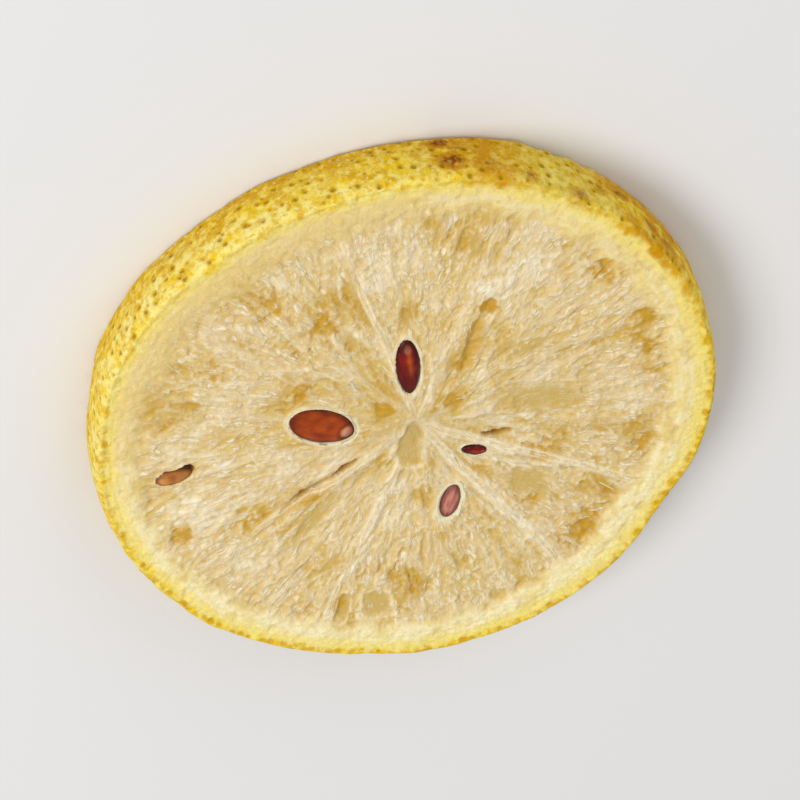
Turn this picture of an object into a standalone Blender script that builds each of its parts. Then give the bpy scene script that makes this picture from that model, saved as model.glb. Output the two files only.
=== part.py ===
"""A freeze-dried lemon slice: one closed solid that lies flat, with its wall of rind, its pith ring,
a dozen sunken segments between raised membranes, seed pockets, splits and empty cells on both faces.

Metres, +Z up. The origin is under the middle of the slice, on the surface that it lies on.
"""

import math

import bmesh
import bpy
import numpy as np
from mathutils import Matrix

NAME = "lemon_slice"

# Driving dimensions
RADIUS = 0.029  # at the widest part of the wall, before the outline's unevenness
THICKNESS = 0.0062  # at the rim
WALL_BULGE = 0.0004  # how far the wall stands out at half height
CORNER = 0.0006  # radius of the worn edge between wall and cut face
PULP_DIP = 0.00060  # how far the middle of a segment dried below the rim
MEMBRANE_DIP = 0.00022  # how far a membrane between segments dried below the rim
PITH_DIP = 0.00010  # how far the pith dried below the rim, on the upper face
PULP_EDGE = 0.87  # outer end of the pulp, as a share of the radius
PITH_EDGE = 0.90  # inner end of the level pith, as a share of the radius
CORE_EDGE = 0.13  # outer end of the solid core, as a share of the radius

# Where the membranes meet the pith, in degrees round the slice: an uneven dozen
MEMBRANES = (25, 59, 88, 115, 143, 168, 202, 238, 273, 298, 318, 352)
COLUMNS_PER_SEGMENT = 8
COLUMNS = COLUMNS_PER_SEGMENT * len(MEMBRANES)
COLUMNS_MERGED_AT_CORE = 4

# Rings of the cut faces as shares of the radius, from the core outwards
FACE_RINGS = (0.065, 0.13, 0.20, 0.28, 0.37, 0.46, 0.55, 0.64, 0.72, 0.79, 0.84, 0.87, 0.90, 0.945)
CORNER_STEPS = 3
WALL_STEPS = 5

# Unevenness of the outline: (waves per turn, height in metres, phase in degrees)
OUTLINE_WAVES = (
    (2, 0.00022, 40),
    (3, 0.00020, 165),
    (5, 0.00014, 300),
    (9, 0.00007, 75),
    (16, 0.00005, 210),
)
FLAT_AT, FLAT_WIDTH, FLAT_DEPTH = 136, 11, 0.00045  # the flattened stretch of rind, in degrees and metres

# Hollows in a face: (x, y, length, width, depth, turn in degrees), lengths in millimetres
SEED_POCKETS = (
    (-1.7, -6.2, 6.8, 2.7, 1.5, 82),
    (7.3, -2.1, 7.1, 4.2, 1.5, -36),
    (-5.6, 5.8, 2.8, 1.7, 1.1, -30),
    (-2.1, 11.1, 4.6, 2.5, 1.3, 65),
    (21.6, -1.1, 4.2, 2.2, 1.2, -2),
)
SPLITS = (
    (8.4, 4.5, 7.8, 0.9, 1.5, 21),
    (-7.6, 4.4, 3.0, 0.8, 1.2, -17),
    (-7.7, -7.6, 7.9, 1.3, 1.0, 59),
    (-0.3, 2.5, 4.9, 1.9, 1.1, 72),
)
EMPTY_CELLS = (
    (10.2, 20.6, 4.0, 2.2, 1.3, 66),
    (7.6, 21.4, 3.6, 2.3, 1.2, 72),
)
UNDER_POCKETS = (
    (5.9, 4.3, 6.6, 3.6, 1.4, 38),
    (-7.4, -3.6, 6.2, 2.9, 1.4, 24),
    (-1.6, -12.4, 4.4, 2.2, 1.2, 84),
)
UNDER_SPLITS = (
    (-6.3, 7.6, 7.2, 1.0, 1.4, -50),
    (4.9, -7.3, 6.0, 0.9, 1.3, -56),
    (0.6, 0.4, 3.6, 1.8, 1.0, 10),
)
MILLIMETRE = 0.001


def clear_scene():
    """Remove every object, so that the script starts from an empty scene."""
    for thing in list(bpy.data.objects):
        bpy.data.objects.remove(thing)


def lemon_material():
    """Dry, matt lemon flesh."""
    material = bpy.data.materials.new("dried_lemon")
    material.use_nodes = True
    shader = material.node_tree.nodes["Principled BSDF"]
    shader.inputs["Base Color"].default_value = (0.80, 0.62, 0.22, 1.0)
    shader.inputs["Roughness"].default_value = 0.8
    shader.inputs["Metallic"].default_value = 0.0
    return material


def smooth_step(low, high, value):
    """0 below low, 1 above high, and an even curve between them."""
    share = np.clip((value - low) / (high - low), 0.0, 1.0)
    return share * share * (3.0 - 2.0 * share)


def section():
    """Half of the slice's section, from the centre of the upper face round to that of the lower one."""
    face_radius = RADIUS - WALL_BULGE
    face = [0.0] + [share * RADIUS for share in FACE_RINGS]
    upper = [(r, THICKNESS) for r in face]
    lower = [(r, 0.0) for r in reversed(face)]
    corner = []
    for step in range(CORNER_STEPS):
        turn = math.pi / 2 * step / CORNER_STEPS
        out = face_radius - CORNER + CORNER * math.sin(turn)
        corner.append((out, THICKNESS - CORNER + CORNER * math.cos(turn)))
    wall = []
    for z in np.linspace(THICKNESS - CORNER, CORNER, WALL_STEPS + 1):
        height = (z - THICKNESS / 2) / (THICKNESS / 2 - CORNER)
        wall.append((face_radius + WALL_BULGE * (1 - height**2), float(z)))
    mirrored = [(r, THICKNESS - z) for r, z in reversed(corner)]
    return upper + corner + wall + mirrored + lower


def turned(profile):
    """Turn a section round the Z axis into a closed bmesh."""
    bm = bmesh.new()
    verts = [bm.verts.new((r, 0.0, z)) for r, z in profile]
    edges = [bm.edges.new(pair) for pair in zip(verts, verts[1:])]
    bmesh.ops.spin(
        bm,
        geom=verts + edges,
        axis=(0, 0, 1),
        cent=(0, 0, 0),
        steps=COLUMNS,
        angle=math.tau,
        use_merge=True,
    )
    bmesh.ops.remove_doubles(bm, verts=bm.verts, dist=1e-6)
    return bm


def segment_angles(turn):
    """Move evenly spaced columns so that every membrane has a column of its own."""
    ends = np.radians(MEMBRANES + (MEMBRANES[0] + 360,))
    even = np.linspace(0.0, math.tau, len(ends))
    segment_start = np.searchsorted(even, turn, side="right") - 1
    segment_start = np.clip(segment_start, 0, len(MEMBRANES) - 1)
    across = (turn - even[segment_start]) / (even[1] - even[0])
    angle = ends[segment_start] + across * (ends[segment_start + 1] - ends[segment_start])
    return angle, across


def core_angles(turn):
    """Give groups of columns one angle, so that few narrow faces meet at the centre."""
    group = math.tau / COLUMNS * COLUMNS_MERGED_AT_CORE
    return np.floor(turn / group + 0.5) * group


def outline(angle):
    """How far the rind stands out from a true circle at each angle."""
    out = np.zeros_like(angle)
    for waves, height, phase in OUTLINE_WAVES:
        out += height * np.sin(waves * angle + math.radians(phase))
    from_flat = (np.degrees(angle) - FLAT_AT + 180) % 360 - 180
    return out - FLAT_DEPTH * np.exp(-((from_flat / FLAT_WIDTH) ** 2))


def face_dip(share, across, angle, pith_dip):
    """How far a cut face dried below the rim, between the core and the rind."""
    hollow = np.sin(math.pi * across) ** 0.7
    pulp = MEMBRANE_DIP + (PULP_DIP - MEMBRANE_DIP) * hollow
    pulp *= 1 + 0.18 * np.sin(7 * angle + 1.0) * np.sin(11 * share + 2 * angle)
    at_core = 1 - smooth_step(0.6 * CORE_EDGE, 1.8 * CORE_EDGE, share)
    pulp = pulp * (1 - at_core) + MEMBRANE_DIP * at_core
    in_pith = smooth_step(PULP_EDGE - 0.04, PITH_EDGE, share)
    at_rind = smooth_step(0.93, 0.965, share)
    return pulp * (1 - in_pith) + pith_dip * in_pith * (1 - at_rind)


def dry(bm):
    """Give the turned blank its segments, its sunken faces and its uneven outline."""
    co = np.array([v.co[:] for v in bm.verts])
    radius = np.hypot(co[:, 0], co[:, 1])
    turn = np.arctan2(co[:, 1], co[:, 0]) % math.tau
    turn[turn > math.tau - 1e-5] = 0.0
    share = radius / RADIUS
    inner = share < FACE_RINGS[0] + 0.01
    turn = np.where(inner, core_angles(turn) % math.tau, turn)
    angle, across = segment_angles(turn)
    upper = co[:, 2] > THICKNESS - 1e-6
    lower = co[:, 2] < 1e-6
    z = co[:, 2].copy()
    z[upper] -= face_dip(share, across, angle, PITH_DIP)[upper]
    z[lower] += face_dip(share, across, angle + 2.0, 0.0)[lower]
    radius = radius + outline(angle) * smooth_step(0.5, 1.0, share)
    moved = np.stack([radius * np.cos(angle), radius * np.sin(angle), z], axis=1)
    middle = (moved.max(axis=0) + moved.min(axis=0)) / 2
    moved[:, :2] -= middle[:2]
    for vert, place in zip(bm.verts, moved):
        vert.co = place
    bmesh.ops.remove_doubles(bm, verts=bm.verts, dist=1e-6)
    bmesh.ops.triangulate(bm, faces=bm.faces)
    bmesh.ops.recalc_face_normals(bm, faces=bm.faces)


def make_object(name, bm, collection):
    """Turn a bmesh into an object of the collection."""
    mesh = bpy.data.meshes.new(name)
    bm.to_mesh(mesh)
    bm.free()
    thing = bpy.data.objects.new(name, mesh)
    collection.objects.link(thing)
    return thing


def add_hollow(slice_object, cutters, name, hollow, face_height):
    """Cut one rounded hollow, such as a seed's pocket, into a face of the slice."""
    x, y, length, width, depth, turn = hollow
    bm = bmesh.new()
    bmesh.ops.create_uvsphere(bm, u_segments=12, v_segments=8, radius=0.5)
    size = Matrix.Diagonal((length * MILLIMETRE, width * MILLIMETRE, 2 * depth * MILLIMETRE, 1))
    place = Matrix.Translation((x * MILLIMETRE, y * MILLIMETRE, face_height))
    bmesh.ops.transform(
        bm, matrix=place @ Matrix.Rotation(math.radians(turn), 4, "Z") @ size, verts=bm.verts
    )
    cutter = make_object(name, bm, cutters)
    cutter.display_type = "WIRE"
    cutter.hide_render = True
    cut = slice_object.modifiers.new(name, "BOOLEAN")
    cut.operation = "DIFFERENCE"
    cut.solver = "EXACT"
    cut.object = cutter


def add_hollows(slice_object, cutters):
    """Cut every pocket, split and empty cell."""
    above = THICKNESS - MEMBRANE_DIP
    for i, hollow in enumerate(SEED_POCKETS):
        add_hollow(slice_object, cutters, f"cut_seed_pocket_{i + 1}", hollow, above)
    for i, hollow in enumerate(SPLITS):
        add_hollow(slice_object, cutters, f"cut_split_{i + 1}", hollow, above)
    for i, hollow in enumerate(EMPTY_CELLS):
        add_hollow(slice_object, cutters, f"cut_empty_cell_{i + 1}", hollow, above)
    for i, hollow in enumerate(UNDER_POCKETS):
        add_hollow(slice_object, cutters, f"cut_under_pocket_{i + 1}", hollow, MEMBRANE_DIP)
    for i, hollow in enumerate(UNDER_SPLITS):
        add_hollow(slice_object, cutters, f"cut_under_split_{i + 1}", hollow, MEMBRANE_DIP)


def main():
    clear_scene()
    scene_root = bpy.context.scene.collection
    collection = bpy.data.collections.new("freeze_dried_lemon_slice")
    cutters = bpy.data.collections.new("cutters")
    scene_root.children.link(collection)
    scene_root.children.link(cutters)

    bm = turned(section())
    dry(bm)
    slice_object = make_object(NAME, bm, collection)
    slice_object.data.materials.append(lemon_material())
    slice_object.data.shade_smooth()
    slice_object.data.set_sharp_from_angle(angle=math.radians(50))
    add_hollows(slice_object, cutters)


main()
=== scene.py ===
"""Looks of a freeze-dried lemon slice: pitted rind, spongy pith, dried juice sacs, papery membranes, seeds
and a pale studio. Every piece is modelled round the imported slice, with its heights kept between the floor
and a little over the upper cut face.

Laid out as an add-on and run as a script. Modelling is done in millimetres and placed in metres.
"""

import itertools
import math

import bmesh
import bpy
import numpy as np
from mathutils import Matrix, Quaternion, Vector


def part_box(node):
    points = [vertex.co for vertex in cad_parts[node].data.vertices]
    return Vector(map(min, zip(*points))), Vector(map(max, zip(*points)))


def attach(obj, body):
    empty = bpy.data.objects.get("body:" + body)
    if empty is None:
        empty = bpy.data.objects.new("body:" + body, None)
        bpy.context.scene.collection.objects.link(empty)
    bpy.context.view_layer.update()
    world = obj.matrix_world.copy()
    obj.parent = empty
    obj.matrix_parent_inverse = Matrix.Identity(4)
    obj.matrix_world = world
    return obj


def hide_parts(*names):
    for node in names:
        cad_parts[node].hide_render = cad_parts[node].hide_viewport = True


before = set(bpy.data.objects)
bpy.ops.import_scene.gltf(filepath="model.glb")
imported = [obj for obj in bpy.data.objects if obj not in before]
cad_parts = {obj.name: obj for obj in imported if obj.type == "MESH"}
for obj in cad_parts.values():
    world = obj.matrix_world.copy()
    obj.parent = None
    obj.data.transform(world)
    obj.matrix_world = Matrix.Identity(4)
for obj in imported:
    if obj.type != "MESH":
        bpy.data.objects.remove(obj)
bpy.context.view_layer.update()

bl_info = {
    "name": "Freeze-dried lemon slice",
    "version": (1, 0, 0),
    "blender": (4, 5, 0),
    "location": "View3D > Sidebar > Lemon slice",
    "description": "Models the rind, pith, pulp, membranes and seeds of a dried lemon slice",
    "category": "Object",
}

MM = 0.001
NODE = "lemon_slice"
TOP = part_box(NODE)[1].z
THICK = TOP / MM

# The fruit's own layout, in millimetres and degrees
MEMBRANES = (25, 59, 88, 115, 143, 168, 202, 238, 273, 298, 318, 352)
STRONG_MEMBRANES = {59: 1.0, 115: 1.3, 143: 1.3, 25: 0.6, 273: 0.7, 238: 0.6, 298: 0.5}
CORE_AT = (-0.8, -0.2)
SEGMENTS = len(MEMBRANES)
STRENGTHS = [STRONG_MEMBRANES.get(at, 0.25) for at in MEMBRANES]
SHORT_MEMBRANE = 59

# Each pocket: x, y, length, width, depth, turn in degrees, width of its pale rim
SEED_POCKETS = (
    (-1.4, -6.9, 6.5, 2.25, 1.3, 82, 0.45),
    (7.6, -2.8, 6.6, 4.0, 1.4, 144, 0.35),
    (-5.2, 5.0, 2.4, 1.2, 0.9, -22, 0.22),
    (-1.8, 10.4, 4.1, 1.95, 1.1, 245, 0.90),
    (21.9, -1.8, 3.4, 1.75, 0.9, 180, 0.08),
)
# Each split or empty cell: x, y, length, width, depth, turn in degrees
SPLITS = (
    (10.3, 4.4, 3.2, 0.44, 1.3, 24),
    (6.9, 2.9, 4.0, 0.32, 1.0, 24),
    (10.6, 4.7, 7.0, 1.1, 0.4, 24),
    (-7.7, 3.8, 3.2, 0.5, 1.0, -12),
    (-7.5, -7.5, 7.0, 1.1, 0.45, 65),
    (20.5, -2.1, 1.5, 0.9, 1.2, 150),
)
EMPTY_CELLS = (
    (10.6, 19.9, 3.4, 1.2, 0.35, 68),
    (7.6, 20.6, 3.0, 2.6, 0.3, 80),
    (0.3, 2.2, 5.0, 2.2, 0.25, 70),
)
UNDER_POCKETS = (
    (5.9, 4.3, 6.4, 3.5, 1.2, 216, 0.35),
    (-7.4, -3.6, 6.0, 2.6, 1.2, 24, 0.45),
    (-1.6, -12.4, 4.2, 2.0, 1.0, 84, 0.60),
)
UNDER_SPLITS = (
    (-6.3, 7.6, 7.4, 0.8, 0.5, -50),
    (-6.0, 7.3, 2.4, 0.5, 1.2, -50),
    (4.9, -7.3, 6.2, 0.8, 0.6, -56),
    (0.6, 0.4, 3.8, 1.5, 0.8, 10),
)
# Seeds: pocket's number, length, width, thickness, sink below the box's face, colour of the skin
MAROON = (0.17, 0.001, 0.004)
RED_BROWN = (0.42, 0.085, 0.004)
MAUVE = (0.50, 0.20, 0.13)
ORANGE_BROWN = (0.54, 0.26, 0.045)
SEEDS = (
    (0, 6.4, 2.15, 1.5, 0.03, MAROON),
    (1, 6.5, 3.9, 1.7, 0.03, RED_BROWN),
    (2, 2.3, 1.1, 0.9, 0.06, MAROON),
    (3, 4.0, 1.85, 1.2, 0.08, MAUVE),
    (4, 3.4, 1.7, 1.0, 0.14, ORANGE_BROWN),
)
UNDER_SEEDS = (
    (0, 6.3, 3.4, 1.7, 0.12, RED_BROWN),
    (1, 5.9, 2.5, 1.5, 0.12, MAROON),
    (2, 4.1, 1.9, 1.2, 0.16, ORANGE_BROWN),
)
# Reddish-brown marks on the wall: degrees round the slice, height, radius, strength
BLEMISHES = (
    (250, 4.0, 0.90, 1.7),
    (251, 1.2, 0.80, 1.5),
    (248, 2.4, 1.0, 0.5),
    (243, 4.4, 1.2, 0.35),
    (236, 5.2, 0.55, 0.7),
    (226, 5.5, 0.6, 0.8),
    (221, 3.6, 0.8, 0.4),
    (215, 2.4, 0.8, 0.7),
    (208, 4.2, 0.9, 0.6),
    (203, 4.6, 0.9, 0.8),
    (200, 2.6, 0.7, 0.5),
)
# Smooth films of dried juice: x, y, length, width, turn in degrees
FILMS = (
    (-12.3, 1.2, 10.0, 4.0, 160),
    (-9.3, 10.9, 6.5, 3.6, 127),
    (10.6, 8.0, 9.5, 1.9, 45),
    (3.3, -12.2, 4.5, 1.6, 284),
    (-12.7, -5.2, 5.5, 1.5, 202),
)
# Golden hollows where the juice left a film: x, y, radius, strength
GOLDEN = (
    (10.7, 5.1, 1.1, 1.2),
    (10.8, 19.2, 0.8, 1.3),
    (-5.8, -5.4, 0.6, 1.6),
    (-11.9, 19.6, 2.0, 0.8),
    (-9.0, 13.3, 1.4, 0.6),
    (-13.4, 18.3, 2.2, 1.0),
    (-20.9, -11.7, 1.6, 0.8),
    (-23.7, -5.0, 1.4, 1.0),
    (-23.3, -1.5, 1.3, 0.9),
    (-20.7, 10.3, 1.6, 0.8),
    (4.8, -14.3, 1.6, 0.9),
    (8.5, -7.3, 1.2, 1.0),
    (7.4, -13.0, 2.0, 0.5),
    (9.6, -18.4, 2.2, 0.5),
    (2.6, -11.0, 1.3, 0.5),
    (15.6, -12.6, 1.8, 0.5),
    (1.7, -2.6, 0.9, 1.7),
    (-4.4, -1.5, 0.8, 2.0),
    (-2.6, -1.1, 0.5, 0.9),
    (5.2, 17.9, 0.5, 0.8),
    (-9.8, -11.3, 1.0, 1.0),
    (16.4, 6.0, 2.2, 0.45),
    (22.7, 5.5, 1.3, 0.8),
    (-10.7, 7.7, 1.5, 0.7),
)
# Pale strands near the core: x, y, length, width, turn in degrees, strength
STRANDS = (
    (-2.9, -4.5, 7.5, 0.5, 78, 0.8),
    (-4.5, -7.5, 3.2, 1.1, 77, 0.7),
    (-5.1, 11.1, 8.4, 0.45, 114, 1.0),
    (-6.6, 10.9, 7.0, 0.35, 119, 0.9),
    (1.8, 1.6, 4.6, 0.45, 74, 0.8),
    (-1.2, 2.7, 5.2, 0.55, 74, 0.9),
    (-9.1, 2.4, 5.4, 0.7, 167, 0.9),
    (-8.1, 7.9, 5.2, 0.5, 142, 1.0),
    (-10.1, 8.7, 7.0, 0.4, 147, 0.9),
    (2.1, -11.7, 3.0, 0.7, 112, 0.9),
    (-2.6, 1.3, 4.2, 0.5, 111, 0.8),
    (1.7, 7.7, 5.4, 0.4, 46, 0.6),
    (14.2, 9.5, 6.0, 0.4, 38, 0.7),
    (6.7, 13.3, 8.0, 0.4, 66, 0.8),
)
# Whitish patches of frothy dried sacs, partly painted glints: x, y, radius, strength
FROTH_AND_GLINTS = (
    (-10.2, -13.5, 1.6, 1.5),
    (-10.9, -14.8, 2.3, 0.7),
    (2.2, -22.6, 2.2, 0.7),
    (17.7, 11.2, 2.8, 0.9),
    (-15.1, -14.9, 1.8, 1.3),
    (-20.6, 3.7, 2.2, 0.8),
    (21.2, 2.2, 2.5, 0.9),
    (-7.7, 16.8, 2.2, 0.6),
    (6.8, 0.1, 1.6, 0.8),
    (13.7, -10.2, 2.4, 0.6),
    (12.4, 1.2, 2.3, 0.8),
    (4.8, 6.0, 1.9, 0.6),
    (-0.7, -18.2, 1.6, 0.6),
)


# ---------------------------------------------------------------- numbers


def unit(value):
    """A value kept between 0 and 1."""
    return np.clip(value, 0, 1)


def smooth_step(low, high, value):
    """0 below low, 1 above high, and an even curve between them."""
    share = unit((value - low) / (high - low))
    return share * share * (3.0 - 2.0 * share)


def bell(value, centre, width):
    """1 at the centre, falling away over the width."""
    return np.exp(-(((value - centre) / width) ** 2))


def noise(points, seed):
    """Smooth random values of about -1 to 1 at an array of points, one unit a cell."""
    rng = np.random.default_rng(seed)
    table = rng.permutation(256)
    slopes = rng.normal(size=(256, 3))
    slopes /= np.linalg.norm(slopes, axis=1)[:, None]
    base = np.floor(points).astype(np.int64)
    part = points - base
    fade = part**3 * (part * (part * 6 - 15) + 10)
    total = np.zeros(points.shape[:-1])
    for corner in itertools.product((0, 1), repeat=3):
        cell = (base + corner) & 255
        pick = table[(table[(table[cell[..., 0]] + cell[..., 1]) & 255] + cell[..., 2]) & 255]
        weight = np.prod(np.where(corner, fade, 1 - fade), axis=-1)
        total += weight * ((part - corner) * slopes[pick]).sum(axis=-1)
    return total * 1.6


def rough_noise(points, seed, octaves=3):
    """Noise with finer noise on it, each octave half as large and half as high."""
    return sum(noise(points * 2**i, seed + i) / 2**i for i in range(octaves))


def ring_noise(angle, waves, third, seed):
    """Noise that closes up round the slice, with about that many waves in each radian of it."""
    return noise(stacked(waves * np.cos(angle), waves * np.sin(angle), third), seed)


def stacked(*columns):
    """Points made of several arrays and numbers."""
    return np.stack(np.broadcast_arrays(*columns), axis=-1).astype(float)


def local_to(x, y, at_x, at_y, turn):
    """Coordinates along and across a direction, from a point of the face."""
    c, s = np.cos(turn), np.sin(turn)
    return (x - at_x) * c + (y - at_y) * s, (y - at_y) * c - (x - at_x) * s


# ---------------------------------------------------------------- layout of the slice


# Waves kept in the outline, enough for its shape and too few for the facets
OUTLINE_WAVES = 28


def cad_outline():
    """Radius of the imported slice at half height, at even angles, without its facets."""
    co = np.array([v.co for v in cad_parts[NODE].data.vertices]) / MM
    co = co[abs(co[:, 2] - THICK / 2) < THICK * 0.2]
    angle = np.arctan2(co[:, 1], co[:, 0]) % math.tau
    order = np.argsort(angle)
    even = np.linspace(0, math.tau, 720, endpoint=False)
    radius = np.hypot(co[:, 0], co[:, 1])
    waves = np.fft.rfft(np.interp(even, angle[order], radius[order], period=math.tau))
    waves[OUTLINE_WAVES:] = 0
    return even, np.fft.irfft(waves, len(even))


EVEN_ANGLES, EVEN_RADII = cad_outline()
# Radii of the round blank: the wall at half height and at the cut faces, the pith's outer edge and the pulp
BULGE, RIND = 0.4, 1.25
WALL_R = float(EVEN_RADII.mean())
GIRTH = math.tau * WALL_R
FACE_R = WALL_R - BULGE
PITH_OUT = FACE_R - RIND
PULP_R = WALL_R * 0.875
# Where the face's sheet starts to dive under the ring of pith, and where it ends
CROSS = PULP_R + 0.8
REACH = CROSS + 1.2
# The firm core, where most membranes start, and the start of the one that stops at the small seed
CORE_R, BESIDE_SEED = 2.2, 5.4
# From sac to sac, and between the oil glands that the cut opens
SAC_SPACING, GLAND_SPACING = 1.1, 1.15
# How far the relief may stand over the upper cut face
PROUD = 0.05
# Thickness of a torn sac wall, and how near vertices are welded
STRIP_THICK, WELD = 0.04, 1e-4


def outline(angle):
    """Radius of the wall at an angle, in millimetres."""
    return np.interp(angle, EVEN_ANGLES, EVEN_RADII, period=math.tau)


def place(radius, angle):
    """Where a point of the round blank comes to lie on the uneven slice."""
    share = radius / WALL_R
    grown = radius * (1 + (outline(angle) / WALL_R - 1) * smooth_step(0.4, 0.97, share))
    off = 1 - smooth_step(0.0, 0.85, share)
    x = grown * np.cos(angle) + CORE_AT[0] * off
    y = grown * np.sin(angle) + CORE_AT[1] * off
    return x, y


def membrane_angle(index, radius):
    """Angle of a membrane at each radius: nearly straight, with a slow wander."""
    wander = noise(stacked(index * 7.3, radius / 7.0, 0.5), 11)
    return math.radians(MEMBRANES[index]) + 0.045 * wander * (1 - smooth_step(0.7, 1.0, radius / PULP_R))


def segments_at(radius, angle):
    """For points of the blank: the segment's number, the distance to its nearer membrane and the share
    of its width."""
    walls = np.stack([membrane_angle(k, radius) for k in range(SEGMENTS)], axis=-1)
    past = (angle[..., None] - walls) % math.tau
    ahead = ((walls - angle[..., None]) % math.tau).min(axis=-1)
    segment, behind = past.argmin(axis=-1), past.min(axis=-1)
    return segment, np.minimum(behind, ahead) * radius, behind / (behind + ahead)


# ---------------------------------------------------------------- relief of the cut faces


def degrees_off(angle, centre):
    """Degrees from a direction round the slice, -180 to 180, of angles in radians."""
    return (np.degrees(angle) - centre + 180) % 360 - 180


def angle_weight(angle, centre, width):
    """1 at an angle round the slice and falling away over a width, both in degrees."""
    return bell(degrees_off(angle, centre), 0, width)


def spots(x, y, places):
    """How strongly each point lies in a list of soft round patches."""
    total = np.zeros(x.shape)
    for at_x, at_y, radius, strength in places:
        total = np.maximum(total, strength * bell(np.hypot(x - at_x, y - at_y), 0, radius))
    return total


def ridged(points, seed, sharpness):
    """Thin crests from 0 to 1 where the noise changes sign."""
    return (1 - unit(np.abs(noise(points, seed)))) ** sharpness


def rim_relief(x, y, seed):
    """Height over the box's face of the cut pith and peel, and how deep each point lies in a small hole."""
    flat = stacked(x, y, seed * 1.9)
    holes = smooth_step(0.28, 0.6, noise(flat / 0.7, seed + 32))
    height = 0.07 * rough_noise(flat / 2.4, seed + 30) + 0.07 * rough_noise(flat / 0.8, seed + 31)
    return height - 0.11 - 0.10 * holes, holes


def sponge_tone(x, y, radius, angle, holes):
    """How pale, how hollow and how near the peel the pith is, as one triple."""
    flat = stacked(x, y, 0.0)
    blotch = rough_noise(flat / 2.2, 62) + 0.5 * noise(flat / 6.0, 63)
    streak = ring_noise(angle, 24, radius / 2.5, 64)
    beige = angle_weight(angle, 300, 55)
    ringed = ring_noise(angle, 10, radius / 0.45, 65)
    pale = unit(0.50 + 0.6 * blotch + 0.4 * streak + 1.0 * ringed - 0.3 * beige)
    low, near = angle_weight(angle, 195, 38), angle_weight(angle, 75, 65)
    pale = unit(pale + (0.45 + 0.4 * blotch) * near - 0.2 * low)
    hollow = holes + smooth_step(0.15, 0.75, -blotch)
    hollow = hollow + (1.3 + 0.6 * blotch) * beige + (0.35 + 0.5 * blotch) * low
    uneven = 0.4 * rough_noise(flat / 1.1, 61) + 0.2 * streak
    outward = smooth_step(PITH_OUT - 1.3 + 0.5 * beige, PITH_OUT + 0.1 + 0.3 * beige, radius + uneven)
    hollow = unit(hollow * (1 - 0.5 * near)) * (1 - 0.5 * outward)
    return stacked(pale, hollow, outward)


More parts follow.
